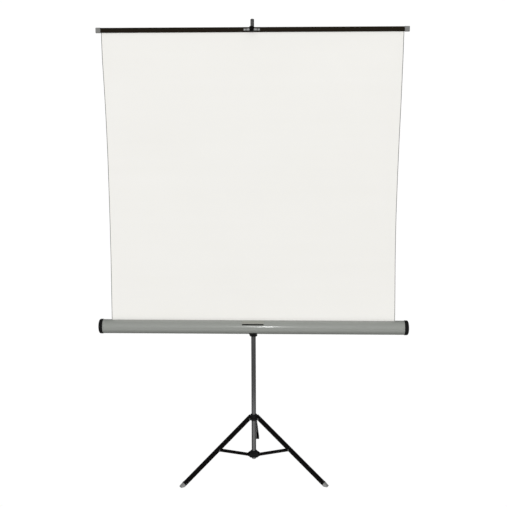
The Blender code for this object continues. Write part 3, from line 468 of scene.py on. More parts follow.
def times(*values):
    out = values[0]
    for v in values[1:]:
        out = put(wt, "Math", {0: out, 1: v}, operation="MULTIPLY").outputs[0]
    return out


sweep = times(fade(aim[1], 0.62, 0.90), fade(aim[2], 0.22, 0.11), fade(aim[2], -0.75, -0.50))
apron = times(fade(aim[1], -0.20, -0.60), fade(aim[2], -0.30, -0.42), fade(aim[2], -0.90, -0.65))
under = put(wt, "MixRGB", {"Fac": fade(aim[2], -0.40, -0.65), "Color1": (0.19, 0.19, 0.19, 1.0), "Color2": (0.10, 0.10, 0.10, 1.0)}).outputs[0]
front = times(fade(aim[1], -0.15, -0.55), fade(aim[2], -0.22, 0.0))
ahead = put(wt, "MixRGB", {"Fac": front, "Color1": under, "Color2": (0.36, 0.36, 0.36, 1.0)}).outputs[0]
sky = put(wt, "MixRGB", {"Fac": apron, "Color1": ahead, "Color2": (0.84, 0.84, 0.84, 1.0)}).outputs[0]
wt.links.new(put(wt, "MixRGB", {"Fac": sweep, "Color1": sky, "Color2": (1.05, 1.05, 1.05, 1.0)}).outputs[0],
             back.inputs["Color"])
back.inputs["Strength"].default_value = 1.0


def sun(name, direction, strength, degrees):
    data = bpy.data.lights.new(name, "SUN")
    data.energy = strength
    data.angle = math.radians(degrees)
    ob = bpy.data.objects.new(name, data)
    scene.collection.objects.link(ob)
    ob.rotation_mode = "QUATERNION"
    ob.rotation_quaternion = Vector(direction).to_track_quat("-Z", "Y")
    ob.visible_glossy = False
    return ob


sun("key", (0.06, 0.95, -0.25), 2.05, 40.0)
sun("top", (0.0, 0.20, -1.0), 0.70, 60.0)
sun("rear", (-0.10, -1.0, -0.04), 1.55, 40.0)


def lamp(name, at, to, size, watts):
    data = bpy.data.lights.new(name, "AREA")
    data.shape = "DISK"
    data.size = size
    data.energy = watts
    ob = bpy.data.objects.new(name, data)
    scene.collection.objects.link(ob)
    ob.location = at
    ob.rotation_mode = "QUATERNION"
    ob.rotation_quaternion = (Vector(to) - Vector(at)).to_track_quat("-Z", "Y")
    return ob


flash = lamp("flash", (-0.03, -4.86, 2.34), (0.0, 0.0, 1.2), 0.10, 28.0)
flash_on = bpy.data.collections.new("flash_light")
flash.light_linking.receiver_collection = flash_on


def plain_white(name, level):
    """A matt white that is only looked at: it throws no light and takes no shadow."""
    m = bpy.data.materials.new(name)
    m.use_nodes = True
    t = m.node_tree
    t.nodes.remove(t.nodes["Principled BSDF"])
    n = put(t, "TexNoise", {"Vector": put(t, "TexCoord").outputs["Object"], "Scale": 1.5, "Detail": 3.0}).outputs[0]
    shade = put(t, "MixRGB", {"Fac": n, "Color1": (0.994, 0.994, 0.994, 1), "Color2": (1.0, 1.0, 1.0, 1)}).outputs[0]
    e = put(t, "Emission", {"Color": shade, "Strength": level})
    t.links.new(e.outputs[0], next(n for n in t.nodes if n.type == "OUTPUT_MATERIAL").inputs["Surface"])
    m.cycles.emission_sampling = "NONE"
    return m


def studio_floor():
    bm = bmesh.new()
    bmesh.ops.create_grid(bm, x_segments=8, y_segments=8, size=1.0)
    bm.transform(Matrix.Diagonal((40.0, 40.0, 1.0, 1.0)))
    ob = from_bm("floor", bm, Matrix.Translation((0, 0, -0.3 * MM)))
    ob.data.materials.append(plain_white("floor", 1.02))
    ob.visible_diffuse = ob.visible_glossy = False
    return ob


def studio_backdrop():
    """A wide pale dome far behind everything; it is only looked at and lights nothing."""
    bm = bmesh.new()
    bmesh.ops.create_uvsphere(bm, u_segments=48, v_segments=24, radius=38.0)
    bmesh.ops.reverse_faces(bm, faces=bm.faces)
    ob = from_bm("backdrop", bm)
    ob.data.shade_smooth()
    ob.data.materials.append(plain_white("backdrop", 1.02))
    ob.visible_diffuse = ob.visible_glossy = ob.visible_transmission = ob.visible_shadow = False
    return ob


studio_floor()
studio_backdrop()
scene.view_settings.view_transform = "Standard"
scene.view_settings.look = "None"


# ---------------------------------------------------------------- the sheet
def neck(s, side):
    """How far an edge pulls in, in mm, at share s of the way down; the slack hangs a little higher at the left."""
    xs = (0.0, 0.09, 0.22, 0.385, 0.555, 0.66, 0.765, 0.87, 0.94, 1.0)
    ys = ((0.0, 0.5, 5.9, 9.7, 9.9, 9.2, 7.8, 5.2, 3.7, 3.0) if side < 0
          else (0.0, 1.0, 4.2, 9.5, 13.0, 13.4, 11.6, 8.5, 6.8, 6.0))
    i = min(max(int(np.searchsorted(xs, s)) - 1, 0), len(xs) - 2)
    t = (s - xs[i]) / (xs[i + 1] - xs[i])
    grad = lambda k: ((ys[min(k + 1, len(xs) - 1)] - ys[max(k - 1, 0)])
                      / (xs[min(k + 1, len(xs) - 1)] - xs[max(k - 1, 0)]))
    h = xs[i + 1] - xs[i]
    return ((2 * t ** 3 - 3 * t ** 2 + 1) * ys[i] + (t ** 3 - 2 * t ** 2 + t) * h * grad(i)
            + (3 * t ** 2 - 2 * t ** 3) * ys[i + 1] + (t ** 3 - t ** 2) * h * grad(i + 1))


def make_sheet():
    cols, rows = 120, 130
    half, selv = FABRIC_W / 2 + 3.6 * MM, 3.0 * MM
    us = [-1.0, -1.0 + selv / half] + [(-1 + selv / half) + (2 - 2 * selv / half) * k / (cols - 2)
                                       for k in range(1, cols - 2)] + [1.0 - selv / half, 1.0]
    vs = [k / rows for k in range(rows + 1)]
    bm = bmesh.new()
    grid = {}
    for face, side in ((0, -1), (1, 1)):
        for j, v in enumerate(vs):
            z = SHEET_Z1 + (SHEET_Z0 - SHEET_Z1) * v
            s = min(max((SLAT_Z0 - z) / (SLAT_Z0 - SHEET_Z0), 0.0), 1.0)
            left, right = (half - neck(s, k) * MM for k in (-1, 1))
            hold = min(1.0, s / 0.14) * min(1.0, (1 - s) / 0.16)
            hold = hold * hold * (3 - 2 * hold)
            for i, u in enumerate(us):
                e = abs(u)
                curl = 3.4 * MM * max(0.0, (e - 0.86) / 0.14) ** 2
                wave = (0.9 * math.sin(5.1 * u + 1.7 * v + 0.6) + 0.5 * math.sin(9.7 * u - 3.1 * v)
                        + 0.4 * math.sin(3.0 * u + 7.0 * v + 1.1)) * MM
                y = SCREEN_Y + hold * (wave * (0.35 + 0.65 * e) + curl) + side * FABRIC_T / 2
                grid[face, j, i] = bm.verts.new((u * (left + (right - left) * (u + 1) / 2), y, z))
    n, m = len(us), len(vs)
    for j in range(m - 1):
        for i in range(n - 1):
            edge = i in (0, n - 2)
            a = bm.faces.new((grid[0, j, i], grid[0, j + 1, i], grid[0, j + 1, i + 1], grid[0, j, i + 1]))
            b = bm.faces.new((grid[1, j, i], grid[1, j, i + 1], grid[1, j + 1, i + 1], grid[1, j + 1, i]))
            a.material_index, b.material_index = (2, 2) if edge else (0, 1)
    rim = ([(j, 0) for j in range(m)] + [(m - 1, i) for i in range(1, n)]
           + [(j, n - 1) for j in range(m - 2, -1, -1)] + [(0, i) for i in range(n - 2, 0, -1)])
    for (ja, ia), (jb, ib) in zip(rim, rim[1:] + rim[:1]):
        f = bm.faces.new((grid[0, ja, ia], grid[1, ja, ia], grid[1, jb, ib], grid[0, jb, ib]))
        f.material_index = 2
    bmesh.ops.recalc_face_normals(bm, faces=bm.faces)
    ob = from_bm("screen_fabric_fine", bm)
    index = [p.material_index for p in ob.data.polygons]
    done(ob, "mast", "screen_cloth", "screen_fabric", angle=60.0, mats=[SHEET_FRONT, SHEET_BACK, SHEET_EDGE])
    ob.data.polygons.foreach_set("material_index", index)
    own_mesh(ob)
    return ob


make_sheet()

# ---------------------------------------------------------------- pole
done(tube("pole_tube_fine", POLE_R, POLE_RI, POLE_Z0, POLE_Z1), "pole", "tube_metal", "pole_tube")
tip = soften([(0, 0.092), (10.4 * MM, 0.092), (11.2 * MM, 0.0905), (11.2 * MM, POLE_Z0 - GAP), (12.7 * MM, POLE_Z0 - GAP),
              (12.6 * MM, 0.0702), (10.4 * MM, 0.0681), (0, 0.0676)], 0.7 * MM, 4, closed=False)
done(lathe("pole_tip_fine", tip), "pole", "grey_plastic", "pole_tip")

LUG_R, NOTCH, PIN_R = 3.9 * MM, 2.0 * MM, 1.6 * MM


def lug_outline():
    cx, cz = COLLAR_R, COLLAR_Z
    low = -math.degrees(math.acos(NOTCH / LUG_R))
    pts = [(15.5 * MM, cz + 11.5 * MM), (21.0 * MM, cz + 9.0 * MM)]
    pts += arc(cx, cz, LUG_R, 100, low, 14)
    pts += arc(cx, cz, NOTCH, 0, 180, 12)
    return pts + [(cx - 4.6 * MM, cz - 7.0 * MM), (15.5 * MM, cz - 9.0 * MM)]


collar = lathe("strut_collar_fine",
               soften([(15.5 * MM, 0.1165), (18.8 * MM, 0.1148), (21.6 * MM, 0.1100), (21.72 * MM, 0.1080), (21.15 * MM, 0.1075),
                       (21.15 * MM, 0.1063), (21.86 * MM, 0.1058), (22.0 * MM, 0.1035), (20.6 * MM, 0.0960), (18.6 * MM, 0.0890),
                       (17.0 * MM, 0.0850), (16.4 * MM, 0.0810), (15.4 * MM, 0.0795), (13.0 * MM, 0.0795), (13.0 * MM, 0.1165)],
                      [1.2 * MM, 3.5 * MM, 3.0 * MM, 0.3 * MM, 0.3 * MM, 0.3 * MM, 0.3 * MM, 3.0 * MM, 4.0 * MM, 4.0 * MM,
                       2.5 * MM, 1.5 * MM, 0.6 * MM, 0.4 * MM, 0.4 * MM], 3), steps=96, closed=True)
combine(collar, "UNION", *(prism("tool", lug_outline(), 4.25 * MM, radial(az), 0.45 * MM) for az in AZIMUTHS))
cheek = soften([(12.8 * MM, 0.0802), (20.0 * MM, 0.0804), (28.0 * MM, 0.0822), (33.0 * MM, 0.0865), (35.0 * MM, 0.0930),
                (35.0 * MM, 0.1020), (32.5 * MM, 0.1070), (27.0 * MM, 0.1105), (20.0 * MM, 0.1130), (12.8 * MM, 0.1140)],
               [0, 20 * MM, 14 * MM, 6 * MM, 6 * MM, 6 * MM, 6 * MM, 12 * MM, 20 * MM, 0], 4)
combine(collar, "UNION", *(prism("tool", cheek, 1.1 * MM, radial(az) @ Matrix.Translation((0, 0, across)), 0.5 * MM)
                           for az in AZIMUTHS for across in (-9.3 * MM, 9.3 * MM)))
combine(collar, "DIFFERENCE", rod(2.3 * MM, -26 * MM, -11 * MM, back_at(0, 0.105)))
done(collar, "pole", "black_plastic", "strut_collar")

screw = lathe("collar_screw_fine",
              soften([(0, -13.1 * MM), (2.0 * MM, -13.1 * MM), (2.0 * MM, -22.8 * MM), (3.4 * MM, -22.8 * MM),
                      (3.2 * MM, -24.1 * MM), (0, -24.6 * MM)], 0.35 * MM, 3, closed=False), back_at(0, 0.105), 36)
combine(screw, "DIFFERENCE", cross_recess(back_at(0, 0.105), -24.6 * MM, 0.9 * MM, 1.9 * MM))
done(screw, "pole", "black_enamel", "collar_screw")


def ribbed(low, high, depth, count):
    """Moulded grip ribs on the widest band of a collar."""
    def shape(a, r, z):
        if not low <= z <= high:
            return r
        return r - depth * max(0.0, math.cos(count * a)) ** 3
    return shape


def clamp_collar(node, rows, boss_r, boss0, boss1, hole0, knob_z, band):
    """rows is the collar's closed profile; the boss carries the clamp screw at the back."""
    prof = soften(rows, 0.8 * MM, 3)
    ob = lathe(node + "_fine", prof, steps=216, closed=True, shape=ribbed(band[0], band[1], 0.55 * MM, 36))
    boss = lathe("tool", soften([(0, boss1), (boss_r, boss1), (boss_r, boss0), (0, boss0)], 0.9 * MM, 3, closed=False),
                 back_at(0, knob_z), 48)
    combine(ob, "UNION", boss)
    combine(ob, "DIFFERENCE", rod(3.4 * MM, hole0, boss1 + 2 * MM, back_at(0, knob_z)))
    return ob


COL_Z0, COL_Z1, KNOB_Z = 0.784, 0.832, 0.8145
pc = clamp_collar("pole_collar",
                  [(19.6 * MM, COL_Z1), (21.0 * MM, 0.830), (21.0 * MM, 0.8288), (21.0 * MM, 0.8280), (21.0 * MM, 0.7906),
                   (21.0 * MM, 0.7898), (21.0 * MM, 0.7853), (20.2 * MM, COL_Z0), (13.0 * MM, COL_Z0),
                   (13.0 * MM, POLE_Z1 + GAP), (11.45 * MM, POLE_Z1 + GAP), (11.45 * MM, COL_Z1)],
                  8.0 * MM, 16 * MM, 27 * MM, 9 * MM, KNOB_Z, (0.7902, 0.8284))
done(pc, "pole", "black_plastic", "pole_collar")


def knob(prefix, z, face, body):
    """Six-lobed clamp knob: rounded rim, dished face with a raised ring."""
    lo, hi, e = face + 0.5 * MM, face + 12.5 * MM, 2.4 * MM
    prof = [(0.0, lo), (3.4 * MM, lo), (9.0 * MM, lo)]
    prof += [(15.5 * MM - e + x, lo + e + y) for x, y in arc(0, 0, e, -90, 0, 6)]
    prof += [(15.5 * MM - e + x, hi - e + y) for x, y in arc(0, 0, e, 0, 90, 6)]
    prof += [(10.2 * MM, hi - 0.25 * MM), (8.0 * MM, hi - 1.3 * MM), (6.2 * MM, hi - 1.5 * MM), (5.4 * MM, hi - 0.8 * MM),
             (3.9 * MM, hi - 0.7 * MM), (3.3 * MM, hi - 1.4 * MM), (0.0, hi - 1.5 * MM)]
    def lobes(a, r, y):
        k = min(1.0, max(0.0, (r - 8.0 * MM) / (7.5 * MM)))
        return r * (1 + k * (-0.1226 + 0.1226 * math.cos(6 * a)))
    ob = lathe(prefix + "_knob_fine", prof, back_at(0, z), 144, shape=lobes)
    combine(ob, "DIFFERENCE", rod(3.3 * MM, face - 2 * MM, face + 9.0 * MM, back_at(0, z)))
    done(ob, body, "black_plastic", prefix + "_knob", angle=40)


knob("pole", KNOB_Z, 27.3 * MM, "pole_knob")

# ---------------------------------------------------------------- leg hub
hub = lathe("leg_hub_fine",
            soften([(17.6 * MM, 0.3305), (20.0 * MM, 0.3282), (20.0 * MM, 0.3140), (25.0 * MM, 0.3105), (25.0 * MM, 0.3015),
                    (23.6 * MM, 0.300), (13.2 * MM, 0.300), (13.2 * MM, 0.3305)], 1.0 * MM, 4), steps=96, closed=True)
lugs, holes = [], []
HUB_PIN_R = 2.5 * MM
for az in AZIMUTHS:
    loop = [(15.6 * MM, HUB_Z + 15.0 * MM), (20.5 * MM, HUB_Z + 12.0 * MM)]
    loop += arc(HUB_R, HUB_Z, 5.7 * MM, 100, -100, 24) + [(15.6 * MM, HUB_Z - 9.0 * MM)]
    lugs.append(prism("tool", loop, 9.2 * MM, radial(az), 2.6 * MM))
    holes.append(rod(HUB_PIN_R + GAP, -12 * MM, 12 * MM, radial(az) @ Matrix.Translation((HUB_R, HUB_Z, 0))))
combine(hub, "UNION", *lugs)
combine(hub, "DIFFERENCE", *holes)
done(hub, "hub", "black_plastic", "leg_hub")


def headed_pin(rows, at, steps=40):
    """A pin with a head at each end; rows is one half, from the middle of its head inwards."""
    prof = rows + [(r, -z) for r, z in reversed(rows)]
    return lathe("pin", soften(prof, 0.3 * MM, 3, closed=False), at, steps)


# ---------------------------------------------------------------- legs and struts
DOWN = Vector((math.sin(LEG_ANGLE), -math.cos(LEG_ANGLE)))
INWARD = Vector((-math.cos(LEG_ANGLE), -math.sin(LEG_ANGLE)))
PIVOT = Vector((HUB_R, HUB_Z))
LEG_PIN = PIVOT + DOWN * STRUT_AT + INWARD * STRUT_IN
COLLAR_PIN = Vector((COLLAR_R, COLLAR_Z))
STRUT_LEN = (COLLAR_PIN - LEG_PIN).length
S_DIR = (COLLAR_PIN - LEG_PIN).normalized()
S_BACK = Vector((-S_DIR.y, S_DIR.x))
if S_BACK.y > 0:
    S_BACK = -S_BACK


def channel(w, lo, hi, t, r, n=10):
    """A U section with rounded bends and rounded lips, closed towards -Y."""
    a, ri, q = w / 2, r - t, t / 2
    loop = arc(a - r, lo + r, r, 0, -90, n) + arc(-a + r, lo + r, r, -90, -180, n)
    loop += arc(-a + q, hi - q, q, 180, 0, 6)
    loop += arc(-a + r, lo + r, ri, 180, 270, n) + arc(a - r, lo + r, ri, 270, 360, n)
    loop += arc(a - q, hi - q, q, 180, 0, 6)
    return loop


def at_rz(u, v):
    p = PIVOT + DOWN * u + INWARD * v
    return (p.x, p.y)


for i, az in enumerate(AZIMUTHS, 1):
    rad = radial(az)
    pin_at = rad @ Matrix.Translation((HUB_R, HUB_Z, 0))
    h0, h1 = LEG_W / 2 + GAP, LEG_W / 2 + GAP + 1.6 * MM
    pin = headed_pin([(0, h1), (2.2 * MM, h1 - 0.1 * MM), (3.6 * MM, h1 - 0.6 * MM), (4.2 * MM, h0 + 0.3 * MM), (4.2 * MM, h0),
                      (HUB_PIN_R, h0)], pin_at)
    done(pin, "hub", "zinc_steel", f"hub_pin_{i}")

    lf = plane_frame(rad, PIVOT, DOWN, INWARD)
    across, along, inward = (Vector(lf.col[k][:3]) for k in (2, 0, 1))
    if across.cross(inward).dot(along) < 0:
        across = -across
    mid = (LEG_END - LEG_TOP) / 2
    sec = axes(across, inward, along, Vector(lf.translation) + along * mid)
    leg = prism(f"leg_{i}_fine", channel(LEG_W, -LEG_OUT, LEG_IN, LEG_T, 6.0 * MM), (LEG_END + LEG_TOP) / 2, sec)
    crown = soften([(-8.02 * MM, 0.0), (-LEG_TOP - 0.05 * MM, -4.5 * MM), (-LEG_TOP - 0.05 * MM, -7.5 * MM),
                    (-LEG_TOP + 2.6 * MM, -LEG_OUT - 0.4 * MM), (LEG_END + 0.02, -LEG_OUT - 0.4 * MM)], 2.4 * MM, 6, closed=False)
    trim = prism("tool", [(LEG_END + 0.02, LEG_IN + 0.4 * MM)] + arc(0, 0, LEG_IN + 0.02 * MM, 90, 180, 20)[:-1] + crown,
                 20 * MM, lf)
    combine(leg, "INTERSECT", trim)
    combine(leg, "DIFFERENCE", rod(HUB_PIN_R + GAP, -15 * MM, 15 * MM, lf),
            rod(2.3 * MM, -15 * MM, 15 * MM, lf @ Matrix.Translation((STRUT_AT, STRUT_IN, 0))))
    done(leg, f"leg_{i}", "black_enamel", f"leg_{i}")

    sh = LEG_END + GAP
    heel = at_rz(sh, 8.5 * MM)
    sole_in = heel[0] + heel[1] * math.tan(LEG_ANGLE)
    outline = soften([at_rz(sh, -10 * MM), (0.4490, 0.0080), (0.4540, 0.0036), (0.4548, 0.0), (sole_in, 0.0), heel],
                     [0.0, 4 * MM, 1.6 * MM, 0.6 * MM, 0.6 * MM, 0.0], 5)
    foot = prism(f"foot_{i}_fine", outline, 12.0 * MM, rad, 1.5 * MM)
    tongue = prism("tool", [at_rz(sh + 6 * MM, -4.5 * MM), at_rz(sh + 6 * MM, 6 * MM), at_rz(sh - 26 * MM, 6 * MM),
                            at_rz(sh - 26 * MM, -4.5 * MM)], 8.0 * MM, rad)
    combine(foot, "UNION", tongue)
    cuts = []
    for k in range(3):
        p = at_rz(sh + (5.0 + 5.0 * k) * MM, -10.35 * MM)
        cuts.append(rod(0.95 * MM, -14 * MM, 14 * MM, rad @ Matrix.Translation((p[0], p[1], 0)), 20))
    combine(foot, "DIFFERENCE", *cuts)
    # painted shade: the tongue inside the leg's channel and the shoulder just past the leg's end get black plastic in
    # place of the channel's shade; only the tip is grey
    band = PIVOT + DOWN * (sh + 7.3 * MM)
    bm = bmesh.new()
    bm.from_mesh(foot.data)
    bmesh.ops.bisect_plane(bm, geom=bm.verts[:] + bm.edges[:] + bm.faces[:], dist=1e-6,
                           plane_co=(band.x, band.y, 0), plane_no=(DOWN.x, DOWN.y, 0))
    bm.to_mesh(foot.data)
    bm.free()
    # painted shade: faces on the leg's side of the cut, inside and at the mouth of the channel, take the black plastic
    dark = [int((q.center.xy - band).dot(DOWN) < 0) for q in foot.data.polygons]
    done(foot, f"leg_{i}", "grey_plastic", f"foot_{i}", mats=[GREY, BLACK])
    foot.data.polygons.foreach_set("material_index", dark)

    w1 = LEG_W / 2
    rows = [(0, w1 + GAP + 1.4 * MM), (2.0 * MM, w1 + GAP + 1.3 * MM), (3.3 * MM, w1 + GAP + 0.8 * MM),
            (3.8 * MM, w1 + GAP + 0.2 * MM), (3.8 * MM, w1 + GAP), (2.0 * MM, w1 + GAP), (2.0 * MM, w1 - LEG_T - GAP),
            (3.6 * MM, w1 - LEG_T - GAP), (3.6 * MM, STRUT_W / 2 + GAP), (2.0 * MM, STRUT_W / 2 + GAP)]
    done(headed_pin(rows, lf @ Matrix.Translation((STRUT_AT, STRUT_IN, 0))), f"leg_{i}", "zinc_steel", f"leg_pin_{i}")

    sf = plane_frame(rad, LEG_PIN, S_DIR, S_BACK)
    s_along, s_back = Vector(sf.col[0][:3]), Vector(sf.col[1][:3])
    ssec = axes((-s_back).cross(s_along), -s_back, s_along, Vector(sf.translation) + s_along * STRUT_LEN / 2)
    end = 4.0 * MM
    strut = prism(f"strut_{i}_fine", channel(STRUT_W, -STRUT_BACK, STRUT_OPEN, STRUT_T, 2.6 * MM, 8), STRUT_LEN / 2 + end, ssec)
    c, rr = (STRUT_BACK - STRUT_OPEN) / 2, (STRUT_BACK + STRUT_OPEN) / 2
    lim = soften([(STRUT_LEN + end + 0.05 * MM, c - rr - 0.2 * MM), (STRUT_LEN + end + 0.05 * MM, c + rr + 0.2 * MM),
                  (-end - 0.05 * MM, c + rr + 0.2 * MM), (-end - 0.05 * MM, c - rr - 0.2 * MM)], 2.6 * MM, 8)
    combine(strut, "INTERSECT", prism("tool", lim, 12 * MM, sf))
    combine(strut, "DIFFERENCE", rod(2.3 * MM, -12 * MM, 12 * MM, sf),
            rod(PIN_R + GAP, -12 * MM, 12 * MM, sf @ Matrix.Translation((STRUT_LEN, 0, 0))))
    done(strut, f"strut_{i}", "black_enamel", f"strut_{i}")
    q0 = STRUT_W / 2 + GAP
    rows = [(0, q0 + 1.0 * MM), (1.5 * MM, q0 + 0.9 * MM), (2.5 * MM, q0 + 0.5 * MM), (2.8 * MM, q0 + 0.15 * MM), (2.8 * MM, q0),
            (PIN_R, q0)]
    done(headed_pin(rows, sf @ Matrix.Translation((STRUT_LEN, 0, 0)), 32), f"strut_{i}", "zinc_steel", f"strut_pin_{i}")

# ---------------------------------------------------------------- mast, block and cradle
done(tube("mast_tube_fine", MAST_R, MAST_RI, MAST_Z0, MAST_Z1), "mast", "tube_metal", "mast_tube")
MC_Z0, MC_Z1, ROD_KNOB_Z = 1.322, 1.356, 1.3475
mc = clamp_collar("mast_collar",
                  [(17.0 * MM, MC_Z1), (18.4 * MM, 1.354), (18.4 * MM, 1.3528), (18.4 * MM, 1.3372), (18.4 * MM, 1.336),
                   (16.4 * MM, 1.324), (15.0 * MM, MC_Z0), (11.4 * MM, MC_Z0), (11.4 * MM, MAST_Z1 + GAP),
                   (9.85 * MM, MAST_Z1 + GAP), (9.85 * MM, MC_Z1)],
                  7.4 * MM, 13.5 * MM, 24 * MM, 8 * MM, ROD_KNOB_Z, (1.3368, 1.3532))
done(mc, "mast", "black_plastic", "mast_collar")
knob("rod", ROD_KNOB_Z, 24.3 * MM, "rod_knob")

BL_Z0, BL_Z1, BLOCK_Y = COL_Z1 + 0.4 * MM, 0.902, -19.0 * MM
blk = prism("pivot_block_fine", round_rect(-17 * MM, BLOCK_Y, 17 * MM, 17 * MM, 5 * MM, 10), (BL_Z1 - BL_Z0) / 2,
            Matrix.Translation((0, 0, (BL_Z0 + BL_Z1) / 2)), 1.2 * MM)
combine(blk, "DIFFERENCE", rod(MAST_R + 0.35 * MM, BL_Z0 - 0.01, BL_Z1 + 0.01, None, 64),
        rod(4.3 * MM, -25 * MM, -6 * MM, back_at(0, CASE_Z)), rod(3.3 * MM, 6 * MM, 22 * MM, back_at(0, 0.884)))
done(blk, "mast", "black_plastic", "pivot_block")
bs = lathe("block_screw_fine", soften([(0, 22.0 * MM), (5.0 * MM, 21.6 * MM), (5.4 * MM, 20.4 * MM), (5.4 * MM, 17.4 * MM),
                                       (3.0 * MM, 17.4 * MM), (3.0 * MM, 11.7 * MM), (0, 11.7 * MM)], 0.5 * MM, 3, closed=False),
           back_at(0, 0.884), 48)
combine(bs, "DIFFERENCE", cross_recess(back_at(0, 0.884), 22.0 * MM, 1.6 * MM, 3.2 * MM))
done(bs, "mast", "zinc_steel", "block_screw")

CR_IN, CR_OUT = CASE_R + GAP, CASE_R + 4.6 * MM
loop = arc(SCREEN_Y, CASE_Z, CR_IN, 48, -135, 72) + arc(SCREEN_Y, CASE_Z, CR_OUT, -135, -32, 40)
loop += [(BLOCK_Y - 0.4 * MM, CASE_Z - 19 * MM), (BLOCK_Y - 0.4 * MM, CASE_Z + 19 * MM)]
loop += arc(SCREEN_Y, CASE_Z, CR_OUT, 32, 48, 10)
cradle = prism("case_cradle_fine", loop, 20 * MM, SIDE, 0.9 * MM)
hole = lathe("tool", [(0, -14 * MM), (4.3 * MM, -14 * MM), (4.3 * MM, -24.2 * MM), (8.2 * MM, -24.2 * MM), (8.2 * MM, -40 * MM),
                      (0, -40 * MM)], back_at(0, CASE_Z), 40)
seats = [rod(2.3 * MM, CASE_Z - CASE_R - 12 * MM, CASE_Z - CASE_R + 5.2 * MM, Matrix.Translation((x, SCREEN_Y, 0)))
         for x in (-12 * MM, 12 * MM)]
combine(cradle, "DIFFERENCE", hole, *seats)
done(cradle, "mast", "black_plastic", "case_cradle")
bolt = lathe("pivot_bolt_fine", soften([(0, -12.4 * MM), (3.2 * MM, -12.4 * MM), (4.0 * MM, -13.2 * MM), (4.0 * MM, -24.5 * MM),
                                        (7.8 * MM, -24.5 * MM), (7.8 * MM, -27.6 * MM), (6.6 * MM, -28.9 * MM), (0, -28.9 * MM)],
                                       0.4 * MM, 3, closed=False), back_at(0, CASE_Z), 48)
done(bolt, "mast", "zinc_steel", "pivot_bolt")
for i, x in ((1, -12 * MM), (2, 12 * MM)):
    top, zb = CASE_Z - CASE_R + 3.2 * MM, CASE_Z - CR_OUT - 0.3 * MM
    at = Matrix.Translation((x, SCREEN_Y, 0))
    s = lathe(f"cradle_screw_{i}_fine", soften([(0, top), (2.0 * MM, top), (2.0 * MM, zb), (3.8 * MM, zb), (3.4 * MM, zb - 1.5 * MM),
                                                (0, zb - 2.1 * MM)], 0.4 * MM, 3, closed=False), at, 36)
    combine(s, "DIFFERENCE", cross_recess(at, zb - 2.1 * MM, 1.0 * MM, 2.2 * MM))
    done(s, "mast", "zinc_steel", f"cradle_screw_{i}")

# ---------------------------------------------------------------- case
SHELL_END = CASE_LEN / 2 - 8.0 * MM
sl = math.degrees(math.asin(SLOT_HALF / CASE_R))
ri = CASE_R - CASE_WALL
sl_in = math.degrees(math.asin((SLOT_HALF + CASE_WALL) / ri))
lip = 6.0 * MM
outer = arc(SCREEN_Y, CASE_Z, CASE_R, 90 + sl, 450 - sl, 180)
inner = arc(SCREEN_Y, CASE_Z, ri, 450 - sl_in, 90 + sl_in, 180)
loop = outer + [(SCREEN_Y + SLOT_HALF, CASE_Z + CASE_R - lip), (SCREEN_Y + SLOT_HALF + CASE_WALL, CASE_Z + CASE_R - lip)]
loop += inner + [(SCREEN_Y - SLOT_HALF - CASE_WALL, CASE_Z + CASE_R - lip), (SCREEN_Y - SLOT_HALF, CASE_Z + CASE_R - lip)]
radii = [0.0] * len(loop)
radii[0] = radii[len(outer) - 1] = 0.0
shell = prism("case_shell_fine", loop, SHELL_END, SIDE)
done(shell, "mast", "case_paint", "case_shell", angle=30)
flash_on.objects.link(shell)

CAP_E = CASE_LEN / 2
for side, s in (("left", -1), ("right", 1)):
    at = axes((0, 1, 0), (0, 0, s), (s, 0, 0), (0, SCREEN_Y, CASE_Z))
    inn = SHELL_END + 0.4 * MM
    prof = [(0, CAP_E - 0.9 * MM), (6.0 * MM, CAP_E - 0.95 * MM), (13.6 * MM, CAP_E - 1.0 * MM), (14.4 * MM, CAP_E - 0.45 * MM),
            (18 * MM, CAP_E - 0.6 * MM), (24 * MM, CAP_E - 1.25 * MM), (29 * MM, CAP_E - 2.2 * MM), (32.6 * MM, CAP_E - 3.4 * MM),
            (35.5 * MM, CAP_E - 5.0 * MM), (37.3 * MM, CAP_E - 6.6 * MM), (38.6 * MM, CAP_E - 8.6 * MM),
            (39.4 * MM, CAP_E - 10.8 * MM), (39.8 * MM, CAP_E - 13 * MM), (39.8 * MM, CAP_E - 14.6 * MM), (39.3 * MM, CAP_E - 15.0 * MM),
            (39.3 * MM, CAP_E - 15.8 * MM), (39.8 * MM, CAP_E - 16.2 * MM), (39.8 * MM, CAP_E - 24.7 * MM),
            (CASE_R + 0.5 * MM, CAP_E - 24.7 * MM), (CASE_R + 0.5 * MM, inn), (0, inn + 0.6 * MM)]
    cap = lathe(f"case_cap_{side}_fine", soften(prof, 0.5 * MM, 3, closed=False), at, 96)
    hr = 4.4 * MM if s < 0 else 5.4 * MM
    combine(cap, "DIFFERENCE", rod(hr, CAP_E - 12 * MM, CAP_E - 3.2 * MM,
                                   axes((0, 1, 0), (0, 0, s), (s, 0, 0), (0, SCREEN_Y + 14.8 * MM, CASE_Z))))
    done(cap, "mast", "black_plastic", f"case_cap_{side}")


